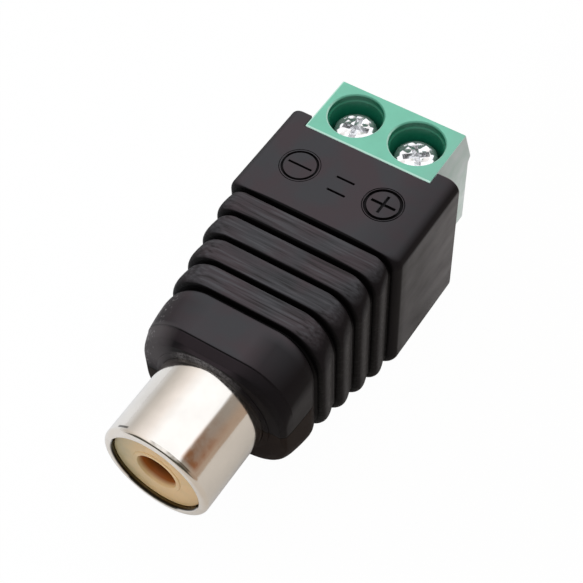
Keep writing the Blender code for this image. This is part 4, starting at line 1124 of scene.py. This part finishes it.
def polarity_cutters(m):
    """The sunk rings with their minus and plus signs, and the two dashes between them."""
    top, depth, slant = m.box[1], m.mark_depth, m.mark_width * SLANT_SHARE
    row = HOUSING_HIGH.y - MARK_BACK

    def stroke(left, right, front, rear):
        return groove_cutter((left, front), (right, rear), top, depth, slant)

    cutters = []
    for x, wide in ((-MARK_ACROSS, m.mark_width), (MARK_ACROSS, m.mark_width * PLUS_WIDENING)):
        place = (x, row, 0)
        cutters += [
            ring_cutter(place, m.mark_radius, top, depth, wide, slant),
            ring_cutter(place, m.mark_radius + m.hairline, top, depth / 2, wide / 3, slant / 3),
            stroke(x - STROKE_REACH, x + STROKE_REACH, row - wide / 2, row + wide / 2),
        ]
    cutters.append(stroke(x - wide / 2, x + wide / 2, row - UPRIGHT_REACH, row + UPRIGHT_REACH))
    for station in DASH_STATIONS:
        dash = row + station
        cutters.append(stroke(DASH_LEFT, DASH_RIGHT, dash - m.mark_width / 2, dash + m.mark_width / 2))
    return cutters


def collar_shape(m, s):
    """The low collar round the shell, rooted in the nose's face."""
    reach, rise, root = s.shell_radius + m.collar_reach, m.collar_rise, s.shell_radius - COLLAR_ROOT
    return turned([(root, m.exposed - rise), (reach - 2 * rise, m.exposed - rise),
                   (reach - rise / 2, m.exposed - rise / 2), (reach, m.exposed + rise),
                   (reach, m.exposed + OVERCUT), (root, m.exposed + OVERCUT)], SHELL_SIDES)


class ADAPTER_OT_moulding(bpy.types.Operator):
    """Make the ribbed black moulding with its sunk polarity signs"""
    bl_idname = "adapter.moulding"
    bl_label = "Moulding"

    def execute(self, context):
        m, s = settings().moulding, settings().socket
        last_groove = m.exposed + m.nose_length
        first_groove = last_groove + m.rib_count * m.rib_pitch
        sections = nose_sections(m, last_groove) + rib_sections(m, last_groove, first_groove)
        sections += box_sections(m, last_groove, first_groove, HOUSING_HIGH.y)
        shell_end = SHELL_HIGH.y - SHELL_LOW.y
        seat = shell_end - s.flange_length - m.seam
        _, shoulder = block_front()
        cavity = rounded_ring(m.cavity_half_width, m.cavity_half_height, m.cavity_half_height,
                              CAVITY_CORNER, CAVITY_CORNER, CAVITY_STEPS)
        skin = lofted(sections, groove_lead(m, last_groove, first_groove))
        shape = carved(carved(skin, [collar_shape(m, s)], "UNION"), [
            rod(s.shell_radius + m.seam, m.exposed - OVERCUT, seat + m.seam, SHELL_SIDES),
            rod(s.flange_radius + m.seam, seat, shell_end + m.seam, RING_SIDES),
            extruded(cavity, shell_end, shoulder, along_y),
            pocket_shape(m),
        ])
        shape = carved(shape, polarity_cutters(m))
        rear = HOUSING_HIGH.y - REAR_MARGIN
        round_edges(shape, REAR_ROUND, lambda point: point.y > rear)
        finish_piece("moulding", shape, "adapter", black_moulding(m, last_groove),
                     ("housing",))
        return {"FINISHED"}


# Socket

class ADAPTER_OT_socket(bpy.types.Operator):
    """Make the plated shell, the cream insulators and the sprung contact"""
    bl_idname = "adapter.socket"
    bl_label = "Socket"

    def execute(self, context):
        s = settings().socket
        nickel = shell_plating(s)
        cream = cream_moulding(s)
        end = SHELL_HIGH.y - SHELL_LOW.y
        finish_piece("socket_shell", turned(self.shell_profile(s, end), SHELL_SIDES), "adapter",
                     nickel, ("jack_shell",))
        finish_piece("socket_insulator", turned(self.insulator_profile(s), INSULATOR_SIDES), "adapter",
                     cream, ("jack_insulator",))
        repaint("rear_insulator", cream)
        repaint("centre_contact", plated("turned_brass", s.brass, 0.22, 0.2))
        return {"FINISHED"}

    @staticmethod
    def shell_profile(s, end):
        """Section of the shell, with a rolled outer rim and a broken inner edge."""
        outer, inner, lip, small = s.shell_radius, s.bore_radius, s.lip_round, 0.1 * MM
        hole, wall = 2.3 * MM, 0.8 * MM
        return ([(inner, small), (inner + small, 0.0)] + arc((outer - lip, lip), lip, -90, 0, 8)
                + [(outer, end - s.flange_length), (s.flange_radius, end - s.flange_length),
                   (s.flange_radius, end), (hole, end), (hole, end - wall), (inner, end - wall)])

    @staticmethod
    def insulator_profile(s):
        """Section of the insulator, with a low collar round the pin hole."""
        front, rear = INSULATOR_LOW.y - s.face_rise, INSULATOR_HIGH.y
        outer, small, pin = s.bore_radius - 0.03 * MM, 0.08 * MM, s.pin_radius
        collar, rise = pin + s.collar_width, s.collar_rise
        return ([(pin, front + small), (pin + small, front - rise), (collar - rise, front - rise),
                 (collar, front)]
                + arc((outer - small, front + small), small, -90, 0, 4)
                + [(outer, rear), (s.chamber_radius, rear), (s.chamber_radius, front + s.lip),
                   (pin, front + s.lip)])


# Terminal block

def block_shape(t):
    """The green block, with the wells, cells, wire entries and tail slots cut out."""
    front, shoulder = block_front()
    top, bottom = BLOCK_HIGH.z, BLOCK_LOW.z
    slope = top - t.slope_drop
    rear, top_rear = BLOCK_HIGH.y, front + t.top_depth
    wall = rear - t.ledge_in
    outline = [(shoulder, bottom), (wall, bottom), (wall, slope - t.ledge_drop), (rear, slope),
               (top_rear, top), (front, top), (shoulder, slope)]
    cutters = []
    for pole in POLES:
        cutters += block_cutters(t, pole)
    blank = extruded(outline, BLOCK_LOW.x, BLOCK_HIGH.x, across_x)
    bmesh.ops.recalc_face_normals(blank, faces=blank.faces)
    return carved(round_edges(blank, t.edge_round, lambda point: True, 2, 5), cutters)


def block_cutters(t, pole):
    """What is cut out of the block for one pole."""
    axis = SCREW_AXES[pole] - SOCKET
    clamp_low, clamp_high = (corner - SOCKET for corner in CLAMP_BOXES[pole])
    bar_low, bar_high = (corner - SOCKET for corner in BAR_BOXES[pole])
    head_top = SCREW_BOXES[pole][1].z - SOCKET.z
    floor = head_top - t.head_height - t.running_gap
    roof = floor - t.partition
    gap = t.running_gap
    cell = box_shape((clamp_low.x - gap, clamp_low.y - gap, BLOCK_LOW.z - OVERCUT),
                     (clamp_high.x + gap, clamp_high.y + gap, roof))
    step, narrow = BLOCK_HIGH.z - t.well_step, t.well_radius - t.well_narrowing
    mouth, brim = t.well_radius + t.edge_round, BLOCK_HIGH.z
    well = turned([(0, floor), (narrow, floor), (narrow, step), (t.well_radius, step + t.well_narrowing),
                   (t.well_radius, brim - t.edge_round), (mouth, brim), (mouth, brim + OVERCUT),
                   (0, brim + OVERCUT)], RING_SIDES, "Z")
    shank = rod(t.shank_radius + gap, roof - t.partition / 2, floor + t.partition / 2, SHANK_SIDES, "Z")
    for hole in (well, shank):
        bmesh.ops.translate(hole, verts=hole.verts, vec=(axis.x, axis.y, 0))
    entry_top = bar_low.z + gap
    entry = box_shape((axis.x - t.entry_width / 2, clamp_high.y, entry_top - t.entry_height),
                      (axis.x + t.entry_width / 2, BLOCK_HIGH.y + OVERCUT, entry_top))
    slot = box_shape((axis.x - TAIL_HALF, BLOCK_LOW.y - OVERCUT, bar_low.z - TAIL_GAP),
                     (axis.x + TAIL_HALF, clamp_low.y, bar_high.z + TAIL_GAP))
    return [cell, well, shank, entry, slot]


class ADAPTER_OT_terminal_block(bpy.types.Operator):
    """Make the green two-way block"""
    bl_idname = "adapter.terminal_block"
    bl_label = "Terminal block"

    def execute(self, context):
        t = settings().terminal
        front, _ = block_front()
        finish_piece("terminal_block", block_shape(t), "adapter",
                     green_moulding(t, front), ("terminal_body",))
        return {"FINISHED"}


# Screws and clamps

def head_shape(t, top, start):
    """A pan head with a rounded crown, and a tapered cross that starts at an angle in degrees."""
    radius = (SCREW_BOXES["minus"][1].x - SCREW_BOXES["minus"][0].x) / 2 + t.head_spread
    seat = top - t.head_height
    top += t.head_rise
    crown = arc((radius - t.head_crown, top - t.head_crown), t.head_crown, 0, 90, 6)
    profile = [(0, seat), (radius - SEAT_EDGE, seat), (radius, seat + SEAT_EDGE)] + crown + [(0, top)]
    cutters = []
    for turn in (start, start + 90):
        arm = box_shape((-t.cross_length / 2, -t.cross_width / 2, top - t.cross_depth),
                        (t.cross_length / 2, t.cross_width / 2, top + t.cross_depth))
        for corner in arm.verts:
            if corner.co.z < top:
                corner.co.x *= CROSS_TAPER[0]
                corner.co.y *= CROSS_TAPER[1]
        rotation = Matrix.Rotation(math.radians(turn), 3, "Z")
        bmesh.ops.rotate(arm, verts=arm.verts, cent=(0, 0, 0), matrix=rotation)
        cutters.append(arm)
    return carved(turned(profile, HEAD_SIDES, "Z"), cutters)


def thread_shape(t, top, bottom):
    """A shank whose radius follows a helical thread, faded out at both ends."""
    shape = bmesh.new()
    steps = int((top - bottom) / t.thread_pitch * THREAD_STEPS)
    rings = []
    for step in range(steps + 1):
        z = bottom + (top - bottom) * step / steps
        run_out = (z - bottom) / (THREAD_RUN_OUT * t.thread_pitch) + THREAD_STUB
        full = min(1.0, (top - z) / t.thread_pitch, run_out)
        ring = []
        for side in range(SHANK_SIDES):
            turn = math.tau * side / SHANK_SIDES
            phase = ((z - bottom) / t.thread_pitch - turn / math.tau) % 1.0
            radius = t.shank_radius - t.thread_depth * (1 - full * (1 - abs(2 * phase - 1)))
            ring.append(shape.verts.new((radius * math.cos(turn), radius * math.sin(turn), z)))
        rings.append(ring)
    return skinned(shape, rings)


def joined(first, second):
    """Put a second shape's faces beside the first's."""
    mesh = bpy.data.meshes.new("part")
    second.to_mesh(mesh)
    second.free()
    first.from_mesh(mesh)
    bpy.data.meshes.remove(mesh)
    return first


class ADAPTER_OT_screws(bpy.types.Operator):
    """Make the two clamp screws"""
    bl_idname = "adapter.screws"
    bl_label = "Clamp screws"

    def execute(self, context):
        t = settings().terminal
        zinc = plated("bright_zinc", t.zinc, 0.13, 0.3, (1, 1, 1), 0.9)
        for pole in POLES:
            low, high = SCREW_BOXES[pole]
            top, bottom = high.z - SOCKET.z, low.z - SOCKET.z
            inside_head = top - t.head_height + THREAD_OVERLAP
            shape = joined(head_shape(t, top, HEAD_TURNS[pole]), thread_shape(t, inside_head, bottom))
            finish_piece(f"screw_{pole}", shape, f"screw_{pole}", zinc,
                         (f"clamp_screw_{pole}",), SCREW_AXES[pole])
        return {"FINISHED"}


class ADAPTER_OT_clamps(bpy.types.Operator):
    """Make the rising box clamps and finish the contact bars and the ground tag"""
    bl_idname = "adapter.clamps"
    bl_label = "Clamps"

    def execute(self, context):
        t = settings().terminal
        steel = plated("clamp_steel", t.steel, 0.26, 0.3, (0.15, 1.0, 1.0))
        tin = plated("tinned_strip", t.tin, 0.3, 0.25, (1.0, 0.12, 1.0))
        for pole in POLES:
            finish_piece(f"box_clamp_{pole}", self.clamp_shape(t, pole), f"lift_{pole}",
                         steel, (f"clamp_{pole}",), SCREW_AXES[pole])
            repaint(f"contact_bar_{pole}", tin)
        repaint("ground_tag", tin)
        return {"FINISHED"}

    @staticmethod
    def clamp_shape(t, pole):
        """A bent and pierced box, with teeth across its floor where it grips the wire."""
        low, high = (corner - SCREW_AXES[pole] for corner in CLAMP_BOXES[pole])
        floor, roof = low.z + t.clamp_floor, high.z - t.clamp_roof
        inside = high.x - t.clamp_side
        window = box_shape((-inside, low.y - OVERCUT, floor), (inside, high.y + OVERCUT, roof))
        hole = rod(t.shank_radius + t.running_gap, roof - OVERCUT / 2, high.z + OVERCUT, SHANK_SIDES, "Z")
        cutters = [window, hole]
        reach = inside - TOOTH_MARGIN
        for tooth in TEETH:
            station = tooth * TOOTH_PITCH
            cutters.append(groove_cutter((-reach, station - TOOTH_HALF), (reach, station + TOOTH_HALF),
                                         floor, TOOTH_DEPTH, TOOTH_SPREAD))
        blank = box_shape(low, high)
        round_edges(blank, CLAMP_ROUND, lambda point: True, 4)
        return carved(blank, cutters)


class ADAPTER_OT_wiring(bpy.types.Operator):
    """Finish the leads and the soldered joints inside"""
    bl_idname = "adapter.wiring"
    bl_label = "Wiring"

    def execute(self, context):
        w = settings().wiring
        copper = plated("bare_copper", w.copper, 0.32, 0.2)
        solder = plated("solder", w.solder, 0.28, 0.2, (1, 1, 1), 0.2)
        for pole, base in (("minus", w.minus), ("plus", w.plus)):
            repaint(f"lead_{pole}_core", copper)
            repaint(f"lead_{pole}_jacket", jacket_plastic(f"{pole}_jacket", base))
            repaint(f"solder_pin_{pole}", solder)
        repaint("solder_ground", solder)
        repaint("solder_centre", solder)
        return {"FINISHED"}


# Stage

def make_floor(size, left, right, white, sheen_share=0.2):
    """A pale floor that the camera sees as white, with a faint shadow left on it."""
    shape = bmesh.new()
    bmesh.ops.create_grid(shape, x_segments=1, y_segments=1, size=size / 2)
    floor = as_object("floor", shape)
    material = bpy.data.materials.new("pale_floor")
    material.use_nodes = True
    tree = material.node_tree
    tree.nodes.clear()
    x, _, _ = parts(tree, "Object")
    paint = blend(tree, fade(tree, x, -2.0 * MM, 8.0 * MM), left, right)
    plain = tree.nodes.new("ShaderNodeBsdfDiffuse")
    tree.links.new(paint, plain.inputs["Color"])
    path = tree.nodes.new("ShaderNodeLightPath")
    sheen = tree.nodes.new("ShaderNodeEmission")
    tree.links.new(paint, sheen.inputs["Color"])
    glow = tree.nodes.new("ShaderNodeEmission")
    inner, outer = tree.nodes.new("ShaderNodeMixShader"), tree.nodes.new("ShaderNodeMixShader")
    output = tree.nodes.new("ShaderNodeOutputMaterial")
    tree.links.new(times(tree, path.outputs["Is Glossy Ray"], sheen_share), inner.inputs[0])
    tree.links.new(plain.outputs[0], inner.inputs[1])
    tree.links.new(sheen.outputs[0], inner.inputs[2])
    tree.links.new(times(tree, path.outputs["Is Camera Ray"], white), outer.inputs[0])
    tree.links.new(inner.outputs[0], outer.inputs[1])
    tree.links.new(glow.outputs[0], outer.inputs[2])
    tree.links.new(outer.outputs[0], output.inputs["Surface"])
    floor.data.materials.append(material)


def make_world(strength):
    """A studio with a broad white light overhead and a tan and brown wall beside the plus pole.

    Its colour follows the angle above the floor, from the plus side over the top to the minus side, and
    it is dark low down in front of the socket. The camera sees plain white behind the floor.
    """
    world = bpy.data.worlds.new("studio")
    bpy.context.scene.world = world
    world.use_nodes = True
    tree = world.node_tree
    tree.nodes.clear()
    x, y, z = parts(tree, "Generated")
    ramp = tree.nodes.new("ShaderNodeValToRGB")
    tree.links.new(calc(tree, "DIVIDE", calc(tree, "ARCTAN2", z, x), math.pi), ramp.inputs[0])
    white, tan, brown = (0.95, 0.97, 1.0), (0.33, 0.25, 0.19), (0.265, 0.235, 0.205)
    rosy, dim, grey, pale = (0.80, 0.76, 0.74), (0.55, 0.52, 0.49), (0.46, 0.44, 0.42), (0.58, 0.59, 0.60)
    stops = ((0, tan), (14, tan), (30, brown), (45, brown), (49, white), (104, white), (127, rosy),
             (151, dim), (164, grey), (180, pale))
    places = ramp.color_ramp.elements
    for angle, _ in stops[1:-1]:
        places.new(angle / 180)
    for place, (angle, tint) in zip(places, stops):
        place.position = angle / 180
        place.color = (*tint, 1.0)
    sky = tree.nodes.new("ShaderNodeBackground")
    sky.inputs["Strength"].default_value = strength
    dark_room = times(tree, fade(tree, y, -0.5, -0.62), fade(tree, z, 0.6, 0.45))
    tree.links.new(blend(tree, dark_room, ramp.outputs["Color"], (0.07, 0.07, 0.055)), sky.inputs["Color"])
    plain = tree.nodes.new("ShaderNodeBackground")
    plain.inputs["Color"].default_value = (1, 1, 1, 1)
    path = tree.nodes.new("ShaderNodeLightPath")
    mixer = tree.nodes.new("ShaderNodeMixShader")
    output = tree.nodes.new("ShaderNodeOutputWorld")
    tree.links.new(path.outputs["Is Camera Ray"], mixer.inputs[0])
    tree.links.new(sky.outputs[0], mixer.inputs[1])
    tree.links.new(plain.outputs[0], mixer.inputs[2])
    tree.links.new(mixer.outputs[0], output.inputs["Surface"])


def make_softbox(name, place, target, size, power):
    """A square light that faces a point."""
    lamp = bpy.data.lights.new(name, "AREA")
    lamp.shape = "SQUARE"
    lamp.size = size
    lamp.energy = power
    thing = bpy.data.objects.new(name, lamp)
    thing.location = place
    thing.rotation_euler = (Vector(place) - Vector(target)).to_track_quat("Z", "Y").to_euler()
    thing.visible_glossy = False
    bpy.context.scene.collection.objects.link(thing)


class ADAPTER_OT_stage(bpy.types.Operator):
    """Set up the camera, the pale floor and the soft light"""
    bl_idname = "adapter.stage"
    bl_label = "Stage"

    def execute(self, context):
        st = settings().stage
        scene = context.scene
        scene.view_settings.view_transform = "Standard"
        lens = bpy.data.cameras.new("camera")
        lens.lens = st.lens
        lens.sensor_width = SENSOR_WIDTH
        lens.shift_x, lens.shift_y = st.shift
        lens.clip_start = CLIP_START
        camera = bpy.data.objects.new("camera", lens)
        camera.location = st.camera_place
        camera.rotation_euler = Euler(st.camera_turn)
        scene.collection.objects.link(camera)
        scene.camera = camera
        make_floor(st.floor_size, st.floor_left, st.floor_right, st.floor_white)
        make_world(st.sky_strength)
        make_softbox("softbox", SOFTBOX_PLACE, SOFTBOX_TARGET, SOFTBOX_SIZE, st.softbox_power)
        return {"FINISHED"}


# Panel and start

class AdapterSettings(bpy.types.PropertyGroup):
    """All settings of the adapter"""
    moulding: PointerProperty(type=MouldingSettings, name="Moulding", description="The black moulding")
    socket: PointerProperty(type=SocketSettings, name="Socket", description="The phono socket")
    terminal: PointerProperty(type=TerminalSettings, name="Terminal", description="The terminal block")
    wiring: PointerProperty(type=WiringSettings, name="Wiring", description="The leads and joints")
    stage: PointerProperty(type=StageSettings, name="Stage", description="Camera, floor and lights")


STEPS = (ADAPTER_OT_moulding, ADAPTER_OT_socket, ADAPTER_OT_terminal_block, ADAPTER_OT_screws,
         ADAPTER_OT_clamps, ADAPTER_OT_wiring, ADAPTER_OT_stage)


class ADAPTER_PT_panel(bpy.types.Panel):
    """Panel with one button for each step"""
    bl_idname = "ADAPTER_PT_panel"
    bl_label = "Adapter"
    bl_space_type = "VIEW_3D"
    bl_region_type = "UI"
    bl_category = "Adapter"

    def draw(self, context):
        for step in STEPS:
            self.layout.operator(step.bl_idname)


CLASSES = (MouldingSettings, SocketSettings, TerminalSettings, WiringSettings, StageSettings,
           AdapterSettings) + STEPS + (ADAPTER_PT_panel,)


def register():
    """Register the classes and the settings."""
    for thing in CLASSES:
        bpy.utils.register_class(thing)
    bpy.types.Scene.adapter = PointerProperty(type=AdapterSettings)


def unregister():
    """Remove the classes and the settings."""
    del bpy.types.Scene.adapter
    for thing in reversed(CLASSES):
        bpy.utils.unregister_class(thing)


def main():
    """Build everything in order."""
    register()
    bpy.ops.adapter.moulding()
    bpy.ops.adapter.socket()
    bpy.ops.adapter.terminal_block()
    bpy.ops.adapter.screws()
    bpy.ops.adapter.clamps()
    bpy.ops.adapter.wiring()
    bpy.ops.adapter.stage()


if __name__ == "__main__":
    main()
